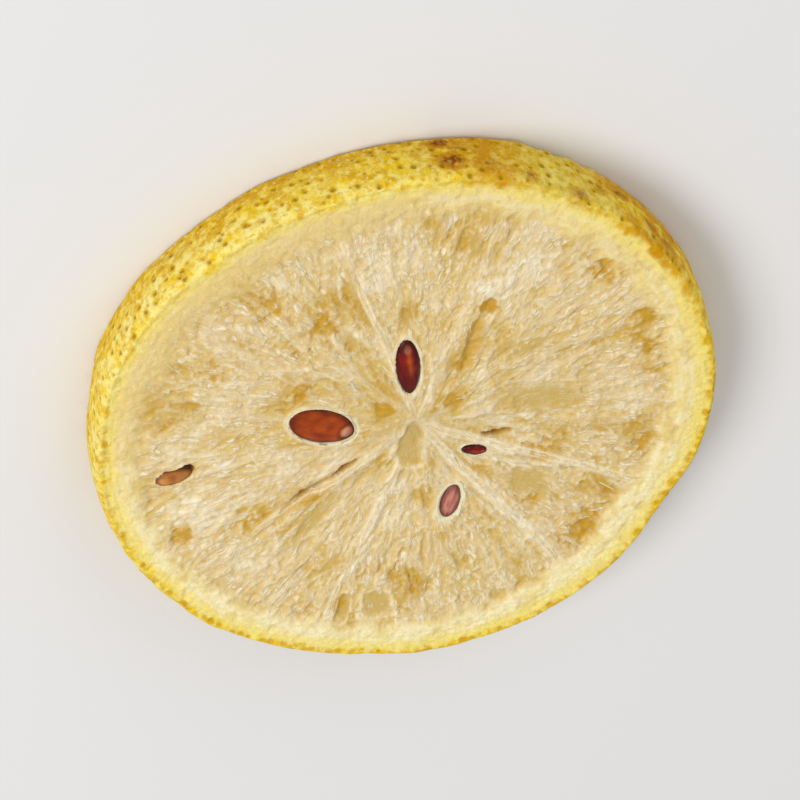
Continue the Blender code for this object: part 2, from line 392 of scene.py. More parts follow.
class Face:
    """One cut face: its hollows, sacs and patches, kept as maps of height and tones on an even grid of
    the round blank."""

    def __init__(self, name, seed, pockets, splits, cells, seeds, films, golden, frosted, strands):
        self.name, self.seed, self.maps = name, seed, {}
        self.pockets, self.splits, self.cells, self.seeds = pockets, splits, cells, seeds
        self.films, self.golden, self.frosted, self.strands = films, golden, frosted, strands

    def level(self, z):
        """Height over the floor of a point that lies that high over the other face."""
        return z if self.name == "upper" else THICK - z

    def cell(self, at):
        """The grid's row or column at a coordinate of the blank."""
        return int(np.clip((at + REACH) / (2 * REACH) * self.across, 0, self.across))

    def window(self, at_x, at_y, reach):
        """The part of the grid round a point of the blank."""
        rows = slice(self.cell(at_y - reach), self.cell(at_y + reach) + 2)
        return rows, slice(self.cell(at_x - reach), self.cell(at_x + reach) + 2)

    def paint_sacs(self, px, py, segment, maps):
        """Lay the juice sacs over each other: drops with their tails to the core, shut and frothy or
        cut open down to a film."""
        rng = np.random.default_rng(self.seed)
        rows = np.arange(-PULP_R, PULP_R, SAC_SPACING)
        at = np.array([(a, b) for a in rows for b in rows])
        at = rng.permutation(at + rng.uniform(-0.6, 0.6, at.shape) * SAC_SPACING)
        from_core = np.hypot(at[:, 0], at[:, 1])
        at = at[(from_core > CORE_R) & (from_core < PULP_R + 0.4)]
        flat = stacked(at[:, 0], at[:, 1], self.seed)
        swirl = 0.30 * noise(flat / 4.0, self.seed + 70)
        dried = 0.5 * noise(flat / 3.2, self.seed + 71) + 0.3 * noise(flat / 7.0, self.seed + 72)
        dried += spots(at[:, 0], at[:, 1], self.golden) - spots(at[:, 0], at[:, 1], self.frosted)
        for (at_x, at_y), bend, dry in zip(at, swirl, dried):
            out = math.hypot(at_x, at_y) / PULP_R
            turn = math.atan2(at_y, at_x) + bend + rng.normal(0, 0.15)
            long = rng.uniform(0.8, 2.5) * (1.2 - 0.45 * out)
            half = rng.uniform(0.30, 0.80) * (0.45 + 0.60 * out)
            here = self.window(at_x, at_y, long)
            al, ac = local_to(px[here], py[here], at_x, at_y, turn)
            ac = ac + rng.normal(0, 0.05) * al**2
            wide = half * np.clip(1 + 0.45 * al / long, 0.3, 2)
            away = np.hypot(al / long, ac / wide)
            own = segment[self.cell(at_y), self.cell(at_x)]
            mask = smooth_step(1.0, 0.80, away) * (segment[here] == own)
            dome = np.sqrt(unit(1 - away**2))
            phase, count = rng.uniform(0, math.tau), rng.uniform(1.0, 3.2)
            sway = 0.9 * np.sin(al * rng.uniform(0.8, 1.8) + phase)
            fold = np.abs(np.sin(ac / wide * count + phase + sway))
            crest = (1 - fold) ** 2.5 * smooth_step(0.0, 0.5, dome) * rng.uniform(0.0, 1.0)
            level, tint = rng.normal(0, 0.04), rng.random()
            is_open = rng.random() + dry > 0.52
            if is_open:
                depth = rng.uniform(0.06, 0.24)
                rim = bell(away, 0.92, 0.12) * smooth_step(-0.8, 0.2, al / long)
                height = level - depth * smooth_step(1.0, 0.4, away) + 0.06 * crest + 0.07 * rim
                film = rng.uniform(0.2, 0.75) * smooth_step(1.0, 0.5, away) * (1 - 0.5 * crest)
                white = np.maximum(0.40 * crest, 0.55 * rim)
            else:
                height = level + rng.uniform(0.03, 0.15) * dome + 0.08 * crest
                film = 0.22 * (1 - crest) * rng.random()
                white = rng.uniform(0.05, 0.45) * (0.45 + 0.55 * dome) + 0.5 * crest
            for name, value in (("relief", height), ("film", film), ("white", white), ("tint", tint)):
                maps[name][here] += (value - maps[name][here]) * mask

    def paint_wisps(self, px, py, maps, patch, count, longest, widths, white, spread):
        """Draw pale strands along the rays, most of them where the sacs are frothy."""
        rng = np.random.default_rng(self.seed + count)
        while count:
            radius, angle = math.sqrt(rng.uniform(2.5**2, PULP_R**2)), rng.uniform(0, math.tau)
            at_x, at_y = radius * math.cos(angle), radius * math.sin(angle)
            long, thin = rng.uniform(0.3, 1.0) * longest, rng.uniform(*widths)
            here = self.window(at_x, at_y, long)
            if rng.random() < 0.5 + patch[here[0].start, here[1].start]:
                continue
            count -= 1
            al, ac = local_to(px[here], py[here], at_x, at_y, angle + rng.normal(0, spread))
            ac = ac + rng.normal(0, 0.06) * al**2
            line = bell(ac, 0, thin) * unit(1 - (al / long) ** 2)
            maps["relief"][here] += rng.uniform(0.3, 0.7) * thin * line
            maps["white"][here] = np.maximum(maps["white"][here], rng.uniform(*white) * line)

    def grow(self, across):
        """Work out the maps, with that many cells across."""
        if self.maps and self.across == across:
            return
        self.across = across
        line = np.linspace(-REACH, REACH, across + 1)
        px, py = np.meshgrid(line, line)
        radius, angle = np.hypot(px, py), np.arctan2(py, px) % math.tau
        x, y = place(radius, angle)
        flat = stacked(x, y, self.seed * 3.7)
        segment, to_membrane, share = segments_at(radius, angle)
        log_r = np.log(np.maximum(radius, 1.0))
        patch = ring_noise(angle, 5.0, 2.2 * log_r, self.seed + 14)
        patch = patch + 0.7 * noise(flat / 3.0, self.seed + 15) - 0.8 * spots(x, y, self.frosted)
        maps = {name: np.zeros(x.shape) for name in ("relief", "film", "white", "tint")}
        self.paint_sacs(px, py, segment, maps)
        self.paint_wisps(px, py, maps, patch, 340, 3.6, (0.12, 0.24), (0.4, 0.9), 0.28)
        self.paint_wisps(px, py, maps, patch, 360, 2.0, (0.09, 0.14), (0.3, 0.9), 0.6)
        self.paint_wisps(px, py, maps, patch, 260, 0.9, (0.08, 0.20), (0.5, 0.9), 1.2)
        film, white, tint = maps["film"], maps["white"], maps["tint"]

        smooth = self.filmed(x, y)
        frosted = spots(x, y, self.frosted)
        strands = self.stranded(x, y)
        golden = spots(x, y, self.golden) + 0.50 * rough_noise(flat / 0.75, self.seed + 40)
        golden = smooth_step(0.22, 0.85, golden) * (1 - 0.7 * strands)
        ends = smooth_step(0.05, 0.45, noise(flat / 1.2, self.seed + 50)) * bell(radius, PULP_R - 0.4, 0.9)
        ends *= 0.25 + 0.75 * angle_weight(angle, 90, 95)
        slow = rough_noise(flat / 6.0, self.seed + 6, 2)
        crumple = rough_noise(flat / 0.75, self.seed + 3)
        streak = ring_noise(angle, 7.0, 1.5 * log_r, self.seed + 64)

        height = 0.8 * maps["relief"] * (1 - 0.8 * smooth) - 0.14 * smooth - 0.15 * golden - 0.10 * ends
        fine = noise(flat / 0.42, self.seed + 5)
        grains = smooth_step(0.05, 0.65, fine + 0.6 * crumple) * (1 - 0.5 * film) * (1 - 0.8 * smooth)
        height += 0.05 * streak + (0.06 * crumple + 0.04 * fine) * (1 - 0.4 * film) * (1 - 0.7 * smooth)
        height += 0.05 * grains
        height += 0.08 * frosted * crumple + 0.08 * strands
        hollow_share = np.sin(math.pi * share) ** 0.7
        height += -0.30 - 0.14 * hollow_share * smooth_step(0.10, 0.24, radius / WALL_R) + 0.09 * slow

        strong = np.interp(angle, np.radians(MEMBRANES), STRENGTHS, period=math.tau)
        wander = 1 + 0.5 * noise(flat / 2.2, self.seed + 9)
        ridge = bell(to_membrane, 0, (0.18 + 0.20 * strong) * wander) * (0.30 + 0.50 * strong)
        ridge = unit(ridge) * (1 - 0.35 * radius / PULP_R)
        height = height * (1 - 0.8 * ridge) + ridge * (-0.18 + 0.06 * crumple)
        core = bell(radius, 0, 2.8)
        height = height * (1 - core) + core * (-0.22 + 0.07 * crumple)

        lines = bell(to_membrane, 0.10 + 0.16 * strong * wander, 0.15) * smooth_step(0.3, 0.8, strong)
        lines *= smooth_step(-1.1, 0.0, noise(flat / 2.6, self.seed + 17)) * (1 - 0.3 * radius / PULP_R)
        lines *= 1.15
        height += 0.06 * lines
        pale = unit(0.6 * core + 0.8 * ridge)
        rays = smooth_step(-0.1, 0.7, ring_noise(angle, 4.5, 2.0, 5))
        pale = np.maximum(pale, (0.25 + 0.5 * rays) * bell(radius, 0, 7.5)) * (1 - golden)
        height, pale, split_shade, cut, opened, halo, emptied = self.hollowed(x, y, height, pale)

        # A groove where the pulp has shrunk from the pith: sunk into the relief and also given painted shade,
        # with the paler tones taken out and golden film laid in.
        groove = bell(radius, PULP_R - 0.9, 0.55) * angle_weight(angle, 12, 48)
        groove *= smooth_step(-0.6, 0.4, noise(flat / 2.0, self.seed + 16))
        pale, height = pale * (1 - 0.7 * groove), height - 0.14 * groove
        lip = PULP_R - 0.9 * angle_weight(angle, 150, 75) + 0.7 * rough_noise(flat / 2.6, self.seed + 33)
        blend = 1.6 * angle_weight(angle, 300, 50)
        pithy = smooth_step(-1.1 - blend, 0.8, radius - lip + 0.5 * rough_noise(flat / 0.9, self.seed + 34))
        pithy = np.maximum(pithy, smooth_step(CROSS - 0.6, CROSS, radius))
        rim, holes = rim_relief(x, y, self.seed)
        height = height * (1 - pithy) + rim * pithy - 0.9 * smooth_step(CROSS, CROSS + 1.2, radius) ** 1.5

        white = white * (0.75 + 0.35 * noise(flat / 1.1, self.seed + 12)) * (1 - 0.75 * smooth)
        white = white * (1 - 0.45 * smooth_step(0.1, 0.8, patch)) + 0.30 * smooth_step(-0.2, -0.9, patch)
        white = np.maximum(white, grains * (0.56 - 0.30 * patch))
        # Whitish froth, partly painted glints.
        white = np.maximum(white, frosted * (0.55 + 0.6 * crumple))
        white = white + 0.35 * ridge * smooth_step(0.3, 0.9, strong)
        white = white * (1 - 0.92 * np.maximum(golden, opened))
        white = np.maximum(white, np.maximum(0.95 * lines, strands * (0.8 + 0.5 * crumple)))
        white = white * (1 - 0.9 * emptied)
        film = film * (0.7 + 0.8 * patch) + 0.95 * smooth_step(-0.1, 0.8, patch) * (1 - 0.7 * white)
        film = unit(film)
        film = film + 0.16 * smooth_step(13.0, 4.0, radius)
        film = np.maximum(film, 0.45 * smooth) * (1 - 0.7 * frosted) * (1 - 0.5 * core) * (1 - cut)
        # The golden film in the groove by the pith is painted shade.
        film = np.maximum(film, np.maximum(0.8 * groove, np.maximum(opened, ends))) * (1 - 0.8 * strands)
        amber = unit(0.8 * tint - 0.55 + 1.0 * patch + 0.3 * crumple) * film * (1 - 0.6 * smooth)
        amber = unit(np.maximum(amber + 1.1 * golden, 0.7 * opened) + 0.5 * ends)
        glaze = np.maximum(smooth * (1 - 0.8 * strands), emptied) * (1 - np.maximum(0.8 * opened, golden))
        self.maps = {
            "x": x,
            "y": y,
            "height": height,
            "white": np.maximum(unit(white) * (1 - cut), halo) * (1 - pithy),
            "film": film,
            "amber": amber * (1 - cut),
            "tint": unit(0.5 + 0.5 * (tint - 0.5) + 0.6 * slow),
            "pale": pale,
            "split_shade": split_shade,
            "glaze": glaze * (1 - cut) * (1 - pithy),
            "pithy": pithy,
            "sponge": sponge_tone(x, y, radius, angle, holes),
        }

    def at(self, px, py, *names):
        """The named maps at points of the blank, read between the grid's points."""
        column = np.clip((px / REACH + 1) / 2 * self.across, 0, self.across - 1e-6)
        row = np.clip((py / REACH + 1) / 2 * self.across, 0, self.across - 1e-6)
        i, j = row.astype(int), column.astype(int)
        u, v = row - i, column - j
        values = []
        for name in names:
            grid = self.maps[name]
            low = grid[i, j] * (1 - v) + grid[i, j + 1] * v
            high = grid[i + 1, j] * (1 - v) + grid[i + 1, j + 1] * v
            values.append(low * (1 - u) + high * u)
        return values

    def filmed(self, x, y):
        """How strongly each point lies on a smooth film."""
        total = np.zeros(x.shape)
        ragged = 0.30 * rough_noise(stacked(x, y, 0.0) / 0.9, 26)
        for at_x, at_y, length, width, turn in self.films:
            al, ac = local_to(x, y, at_x, at_y, math.radians(turn))
            ac = ac + 0.3 * noise(stacked(al / 2.2, at_x, at_y), 23)
            away = np.hypot(al / (length / 2), ac / (width / 2)) + ragged
            total = np.maximum(total, 1 - smooth_step(0.45, 1.15, away))
        return total

    def stranded(self, x, y):
        """How strongly each point lies on a pale strand."""
        total = np.zeros(x.shape)
        for at_x, at_y, length, width, turn, strength in self.strands:
            al, ac = local_to(x, y, at_x, at_y, math.radians(turn))
            ac = ac + 0.3 * noise(stacked(al / 1.5, at_x, at_y), 24)
            taper = unit(1 - (al / (length / 2)) ** 4)
            ends = width / 2 * (1 + 0.5 * noise(stacked(al / 0.8, at_y, at_x), 25))
            total = np.maximum(total, strength * taper * bell(ac, 0, ends))
        return total

    def hollowed(self, x, y, height, pale):
        """Sink the seed pockets, splits and empty cells into the face, and note where the splits get painted
        shade, where it is cut away, bare of sacs and rimmed."""
        split_shade, cut, opened, halo, emptied = np.zeros((5, *x.shape))
        for at_x, at_y, length, width, depth, turn, rim in self.pockets:
            al, ac = local_to(x, y, at_x, at_y, math.radians(turn))
            away = np.hypot(al / (length / 2), ac / (width / 2))
            bowl = np.sqrt(unit(1 - away**2))
            beyond = np.maximum(away - 1, 0) * math.sqrt(length * width) / 2
            lip = bell(beyond, 0.5 * rim, 0.6 * rim)
            height = np.where(away < 1, -0.28 - depth * bowl, height + lip * (-0.24 - height) * 0.85)
            pale = np.maximum(pale, bell(beyond, 0, 1.2 * rim))
            torn = 0.75 + 0.45 * noise(stacked(x / 1.2, y / 1.2, 0.0), self.seed + 22)
            halo = np.maximum(halo, torn * bell(beyond, 0.1, 0.8 * rim))
            cut = np.maximum(cut, smooth_step(1.1, 0.6, beyond / rim))
        for at_x, at_y, length, width, depth, turn in self.splits:
            al, ac = local_to(x, y, at_x, at_y, math.radians(turn))
            ac = ac + 0.2 * noise(stacked(al / 1.6, at_x, 0.0), self.seed + 20)
            lens = unit(1 - (al / (length / 2)) ** 2)
            away = np.abs(ac) / (width / 2 * lens + 0.02)
            gap = np.where(lens > 0, 1 - smooth_step(0.2, 1.6, away), 0)
            height = height - depth * gap * np.sqrt(lens)
            # Painted shade deep in the split, stronger the deeper it is.
            dark = smooth_step(1.3, 0.5, away) * smooth_step(0.05, 0.5, lens) * smooth_step(0.5, 1.1, depth)
            split_shade = np.maximum(split_shade, dark)
            glow = 0.95 * bell(away, 0, 2.0) * smooth_step(0.0, 0.5, lens)
            opened = np.maximum(opened, glow)
            pale = pale * (1 - glow)
        for at_x, at_y, length, width, depth, turn in self.cells:
            al, ac = local_to(x, y, at_x, at_y, math.radians(turn))
            ac = ac * (1 - 0.25 * al / length) + 0.35 * noise(stacked(al / 1.3, at_x, at_y), self.seed + 21)
            away = (np.abs(al / (length / 2)) ** 4 + np.abs(ac / (width / 2)) ** 4) ** (1 / 4)
            away = away + 0.12 * rough_noise(stacked(x, y, 0.0) / 0.7, self.seed + 27)
            inside = 1 - smooth_step(0.70, 1.10, away)
            floor = 0.05 * rough_noise(stacked(x, y, 0.0) / 0.8, self.seed + 28)
            height = height * (1 - inside) + inside * (floor - 0.3 - depth)
            emptied = np.maximum(emptied, inside)
            opened = np.maximum(opened, 0.7 * inside * smooth_step(1.6, 1.0, width))
            pale = np.maximum(pale * (1 - inside), 0.9 * bell(away, 1.2, 0.16))
            halo = np.maximum(halo, 0.6 * bell(away, 1.18, 0.12))
        return height, pale, split_shade, cut, opened, halo, emptied


UPPER = Face("upper", 5, SEED_POCKETS, SPLITS, EMPTY_CELLS, SEEDS, FILMS, GOLDEN, FROTH_AND_GLINTS, STRANDS)
UNDER = Face(
    "under",
    41,
    UNDER_POCKETS,
    UNDER_SPLITS,
    ((-10.5, 19.2, 3.4, 1.9, 0.9, -62),),
    UNDER_SEEDS,
    tuple((-x, y, long, wide, 180 - turn) for x, y, long, wide, turn in FILMS[:4]),
    tuple((-x * 0.9, y * 0.95, r, s) for x, y, r, s in GOLDEN),
    tuple((y * 0.9, -x * 0.95, r, s) for x, y, r, s in FROTH_AND_GLINTS),
    tuple((-x, y * 0.9, long, wide, 180 - turn, s) for x, y, long, wide, turn, s in STRANDS[3:]),
)


# ---------------------------------------------------------------- meshes


def turned(points, columns, closed):
    """Spin a profile of (radius, height) round Z into a blank; a closed profile gives a ring."""
    bm = bmesh.new()
    verts = [bm.verts.new((r, 0.0, z)) for r, z in points]
    edges = [bm.edges.new(pair) for pair in zip(verts, verts[1:])]
    if closed:
        edges.append(bm.edges.new((verts[-1], verts[0])))
    bmesh.ops.spin(
        bm,
        geom=verts + edges,
        axis=(0, 0, 1),
        cent=(0, 0, 0),
        steps=columns // SEGMENTS,
        angle=math.tau / SEGMENTS,
    )
    wedge = bm.verts[:] + bm.edges[:] + bm.faces[:]
    for k in range(1, SEGMENTS):
        copied = bmesh.ops.duplicate(bm, geom=wedge)["geom"]
        bmesh.ops.rotate(
            bm,
            verts=verts_in(copied),
            cent=(0, 0, 0),
            matrix=Matrix.Rotation(math.tau * k / SEGMENTS, 3, "Z"),
        )
    bmesh.ops.remove_doubles(bm, verts=bm.verts, dist=WELD)
    return bm


def coordinates(bm):
    """Vertex places as an array."""
    return np.array([v.co[:] for v in bm.verts], float)


def move_to(bm, places, unit=MM):
    """Set the vertex places of a bmesh, in metres unless told otherwise."""
    for vert, spot in zip(bm.verts, places * unit):
        vert.co = spot


def verts_in(geom):
    """The vertices in what a bmesh operator returns."""
    return [part for part in geom if isinstance(part, bmesh.types.BMVert)]


def open_edges(bm):
    """The edges of a bmesh that only one face uses."""
    return [edge for edge in bm.edges if edge.is_boundary]


def part_mesh(name, bm):
    """Turn a bmesh into a mesh."""
    mesh = bpy.data.meshes.new(name)
    bm.to_mesh(mesh)
    bm.free()
    return mesh


def link(name, data):
    """Put an object with that data in the scene."""
    thing = bpy.data.objects.new(name, data)
    bpy.context.scene.collection.objects.link(thing)
    return thing


def make_piece(name, bm, material, tones=None):
    """Make the bmesh a smooth piece of the slice, with its tones as attributes."""
    bmesh.ops.recalc_face_normals(bm, faces=bm.faces)
    for vert in bm.verts:
        vert.co.z = min(max(vert.co.z, 0.0), TOP + PROUD * MM)
    mesh = part_mesh(name, bm)
    mesh.shade_smooth()
    mesh.materials.append(material)
    for label, values in (tones or {}).items():
        kind, field = ("FLOAT_VECTOR", "vector") if values.ndim == 2 else ("FLOAT", "value")
        attribute = mesh.attributes.new(label, kind, "POINT")
        attribute.data.foreach_set(field, values.astype(np.float32).ravel())
    piece = link(name, mesh)
    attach(piece, "root")
    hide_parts(NODE)
    return piece


def turn_of(co):
    """Angle of each vertex of a blank, from 0 to a full turn."""
    turn = np.arctan2(co[:, 1], co[:, 0]) % math.tau
    turn[turn > math.tau - 1e-4] = 0.0
    return turn


def pulp_piece(face, sizes, material):
    """Half of the pulp, from one cut face down to mid height."""
    face.grow(sizes.pulp_grid)
    bm = bmesh.new()
    bmesh.ops.create_grid(bm, x_segments=sizes.pulp_grid, y_segments=sizes.pulp_grid, size=REACH)
    outside = [vert for vert in bm.verts if vert.co.length > REACH]
    bmesh.ops.delete(bm, geom=outside, context="VERTS")
    skirt = bmesh.ops.extrude_edge_only(bm, edges=open_edges(bm))["geom"]
    bmesh.ops.translate(bm, vec=(0, 0, -1), verts=verts_in(skirt))
    bmesh.ops.holes_fill(bm, edges=open_edges(bm))
    co = coordinates(bm)
    column, row = (np.rint((co[:, k] / REACH + 1) / 2 * sizes.pulp_grid).astype(int) for k in (0, 1))
    tones = {name: grid[row, column] for name, grid in face.maps.items()}
    x, y, height = (tones.pop(name) for name in ("x", "y", "height"))
    z = np.where(co[:, 2] > -0.5, THICK + height, THICK / 2)
    move_to(bm, stacked(x, y, face.level(z)))
    return make_piece("pulp_" + face.name, bm, material, tones)


def pith_piece(sizes, material):
    """The ring of pith, with both cut faces."""
    inner, outer = CROSS - 0.9, PITH_OUT + 1.0
    rings = np.linspace(inner, outer, sizes.pith_rings)
    points = [(float(r), THICK) for r in rings] + [(float(r), 0.0) for r in rings[::-1]]
    bm = turned(points, sizes.rim_columns, closed=True)
    co = coordinates(bm)
    radius, angle = np.hypot(co[:, 0], co[:, 1]), turn_of(co)
    top = co[:, 2] > THICK / 2
    x, y = place(radius, angle)
    (up, holes_up), (down, holes_down) = (rim_relief(x, y, face.seed) for face in (UPPER, UNDER))
    sink = 0.6 * smooth_step(CROSS, CROSS - 0.9, radius) ** 1.5 + 0.012
    sink += 0.6 * smooth_step(PITH_OUT + 0.2, PITH_OUT + 1.0, radius) ** 1.5
    z = np.where(top, THICK + up - sink, sink - down)
    move_to(bm, stacked(x, y, z))
    tones = {"sponge": sponge_tone(x, y, radius, angle, np.where(top, holes_up, holes_down))}
    return make_piece("pith", bm, material, tones)


def wall_pits(rng, spacing):
    """Centres and sizes of the oil glands on the wall, unrolled: along, up, radius."""
    row_height = spacing * 0.87
    rows, count = int(THICK / row_height) + 2, int(GIRTH / spacing)
    pits = []
    for row in range(rows):
        for i in range(count):
            along = (i + 0.5 * (row % 2) + rng.uniform(-0.42, 0.42)) * GIRTH / count
            up = (row - 0.3 + rng.uniform(-0.4, 0.4)) * row_height
            pits.append((along, up, rng.uniform(0.02, 0.27)))
    return np.array(pits)


def cut_glands(rng, spacing, jitter, reach, radii):
    """Centres and sizes of the glands that the cut opens along the rim: along, radius of the slice, size."""
    count = int(GIRTH / GLAND_SPACING)
    along = (np.arange(count) + rng.uniform(-jitter, jitter, count)) * spacing
    return np.stack([along, FACE_R - rng.uniform(0.0, reach, count), rng.uniform(*radii, count)], axis=1)


def nearest_gap(along, up, pits):
    """Distance from each point of the unrolled wall to the edge of its nearest gland, below 0 inside it."""
    gap = np.full(len(along), GIRTH)
    batch = 60
    for start in range(0, len(pits), batch):
        some = pits[start : start + batch]
        beside = (along[:, None] - some[:, 0] + GIRTH / 2) % GIRTH - GIRTH / 2
        gap = np.minimum(gap, (np.hypot(beside, up[:, None] - some[:, 1]) - some[:, 2]).min(axis=1))
    return gap


def add_part(whole, bm):
    """Add a bmesh's faces to another."""
    mesh = part_mesh("part", bm)
    whole.from_mesh(mesh)
    bpy.data.meshes.remove(mesh)


def membranes_piece(sizes, material):
    """The papery walls between the segments: thin uneven strips on edge, from the core to the pith."""
    whole = bmesh.new()
    for face in (UPPER, UNDER):
        face.grow(sizes.pulp_grid)
    for k, strong in enumerate(STRENGTHS):
        bm = bmesh.new()
        bmesh.ops.create_grid(bm, x_segments=150, y_segments=14, size=1.0)
        co = coordinates(bm)
        along, phase = (co[:, 0] + 1) / 2, (co[:, 1] + 1) * math.pi
        start = BESIDE_SEED if MEMBRANES[k] == SHORT_MEMBRANE else CORE_R
        radius = start + along * (PULP_R - start)
        angle = membrane_angle(k, radius)
        px, py = radius * np.cos(angle), radius * np.sin(angle)
        x, y, high = UPPER.at(px, py, "x", "y", "height")
        (low,) = UNDER.at(px, py, "height")
        torn = 0.16 * rough_noise(stacked(radius / 1.5, k * 5.1, np.sin(phase) > 0), 81)
        fade = smooth_step(0.0, 0.15, along) * (1 - smooth_step(0.85, 1.0, along))
        rise = (0.10 * strong - 0.07 + torn) * fade - 0.25 * (1 - fade)
        top, bottom = THICK + high + rise, -low - rise
        upright = np.sign(np.sin(phase)) * np.abs(np.sin(phase)) ** 0.4
        z = (top + bottom) / 2 + upright * (top - bottom) / 2
        uneven = 1 + 0.9 * noise(stacked(radius / 1.3, k * 2.1, 0.0), 85)
        thin = (0.05 + 0.09 * strong) * uneven * (0.3 + 0.7 * fade)
        lean = 0.4 * strong * noise(stacked(radius / 3.0, k * 3.3, 0.0), 84) * upright**3
        side = lean + thin * np.cos(phase) + 0.05 * noise(stacked(radius / 0.9, k * 3.3, upright), 83)
        shape = stacked(x - side * np.sin(angle), y + side * np.cos(angle), z)
        move_to(bm, shape, 1.0)
        add_part(whole, bm)
    bmesh.ops.remove_doubles(whole, verts=whole.verts, dist=WELD)
    bmesh.ops.holes_fill(whole, edges=open_edges(whole))
    move_to(whole, coordinates(whole))
    return make_piece("membranes", whole, material)


def in_pocket(face, pocket, shape):
    """Points of a seed or a cup, laid in a pocket of a face."""
    at_x, at_y, *_, turn, _ = face.pockets[pocket]
    matrix = Matrix.Translation((at_x, at_y, face.level(THICK))) @ Matrix.Rotation(math.radians(turn), 4, "Z")
    if face is UNDER:
        matrix = matrix @ Matrix.Diagonal((1.0, 1.0, -1.0, 1.0))
    matrix = np.array(matrix)
    return shape @ matrix[:3, :3].T + matrix[:3, 3]


def seeds_piece(material):
    """Every seed: a wrinkled drop, pointed towards the core, with a pale tip on the red-brown seeds, pale
    streaks on the mauve one and a painted highlight at the blunt end of the others; the maroon seeds also get
    a painted gloss band.
    """
    whole = bmesh.new()
    skins, tip_and_highlight_tones, rib_tones = [], [], []
    for face in (UPPER, UNDER):
        for number, (pocket, length, width, thick, sink, skin) in enumerate(face.seeds):
            bm = bmesh.new()
            bmesh.ops.create_uvsphere(bm, u_segments=56, v_segments=36, radius=0.5)
            co = coordinates(bm)
            lengthwise = co[:, 2].copy() * 2
            around = co[:, :2] * (1 - 0.10 * lengthwise - 0.08 * lengthwise**2)[:, None]
            # A pale mark at the pointed tip of the red-brown seeds; on the other seeds a weaker painted
            # highlight at the blunt end, and pale streaks on the mauve one.
            end = 0.74 if skin == RED_BROWN else -0.70
            from_tip = np.hypot((lengthwise - end) / 0.17, (around[:, 0] - 0.03) / 0.17)
            tip_and_highlight = smooth_step(1.2, 0.7, from_tip) * (1.0 if skin == RED_BROWN else 0.3)
            ringed = bell(from_tip, 1.35, 0.30) * (0.5 if skin == RED_BROWN else 0.0)
            if skin == MAUVE:
                streaks = noise(stacked(lengthwise, around[:, 0] * 7, number), 93)
                tip_and_highlight = 0.75 * smooth_step(-0.2, 0.5, streaks)
            rise = 0.28 * thick
            around[:, 1] *= 2 * np.where(around[:, 1] > 0, rise, thick - rise)
            shape = stacked(lengthwise / 2 * length, around[:, 0] * width, around[:, 1])
            bumps = noise(shape / 1.4 + number * 3.1, 90) * 0.07 + noise(shape / 0.45, 91) * 0.018
            turn = np.arctan2(co[:, 1], co[:, 0])
            ribs = ridged(stacked(turn * 2.2, lengthwise * 0.8, number * 2.0), 92, 6)
            out = shape / np.maximum(np.linalg.norm(shape, axis=1), 1e-6)[:, None]
            shape += out * (bumps + 0.035 * ribs)[:, None]
            shape[:, 2] -= sink + rise
            move_to(bm, in_pocket(face, pocket, shape))
            add_part(whole, bm)
            edge = smooth_step(0.45 if skin == MAUVE else 0.62, 1.0, np.hypot(lengthwise, 2 * co[:, 0]))
            streaked = noise(stacked(lengthwise * 1.1, around[:, 0] * 5, number * 1.7), 94)
            # Painted highlight: a red-brown gloss band down the middle of the maroon seeds.
            painted_gloss_stripe = 0.8 * bell(around[:, 0], 0.06, 0.13) * smooth_step(0.75, 0.1, np.abs(lengthwise + 0.1))
            painted_gloss_stripe = unit(painted_gloss_stripe * (1 + 0.8 * streaked)) * (skin == MAROON)
            coat = np.outer(1 - painted_gloss_stripe, skin) + np.outer(painted_gloss_stripe, RED_BROWN)
            coat *= ((1 - 0.6 * edge) * (1 - ringed) * (1 + 0.35 * streaked))[:, None]
            skins.append(unit(coat) ** (1, 1.12, 1))
            tip_and_highlight_tones.append(tip_and_highlight * (1 - edge) * (co[:, 1] > 0))
            rib_tones.append(ribs)
    tones = {
        "skin": np.concatenate(skins),
        "tip": np.concatenate(tip_and_highlight_tones),
        "ribs": np.concatenate(rib_tones),
    }
    return make_piece("seeds", whole, material, tones)


def husks_piece(material):
    """The pale papery cups that line the seed pockets, with torn rims."""
    whole = bmesh.new()
    for face in (UPPER, UNDER):
        for number, (pocket, *_rest) in enumerate(face.seeds):
            _, _, length, width, depth, _, breadth = face.pockets[pocket]
            if breadth < 0.1:
                continue
            bm = bmesh.new()
            bmesh.ops.create_uvsphere(bm, u_segments=72, v_segments=32, radius=0.5)
            bmesh.ops.bisect_plane(
                bm,
                geom=bm.verts[:] + bm.edges[:] + bm.faces[:],
                plane_co=(0, 0, 0.02),
                plane_no=(0, 0, 1),
                clear_outer=True,
            )
            co = coordinates(bm)
            angle = np.arctan2(co[:, 1], co[:, 0])
            rim = smooth_step(-0.16, 0.02, co[:, 2])
            ragged = rough_noise(stacked(2.4 * np.cos(angle), 2.4 * np.sin(angle), number * 2.7), 95)
            flare = rim * (0.5 * breadth * (1 + 0.5 * ragged) + 0.06 * ragged)
            x, y = co[:, 0] * length + flare * np.cos(angle), co[:, 1] * width + flare * np.sin(angle)
            z = co[:, 2] * 2 * depth * 0.9 - 0.26 + rim * (0.14 + 0.07 * ragged) - 0.24 * rim**4
            move_to(bm, in_pocket(face, pocket, stacked(x, y, z)))
            bmesh.ops.recalc_face_normals(bm, faces=bm.faces)
            bmesh.ops.solidify(bm, geom=bm.faces, thickness=-0.12 * MM)
            add_part(whole, bm)
    return make_piece("seed_husks", whole, material)


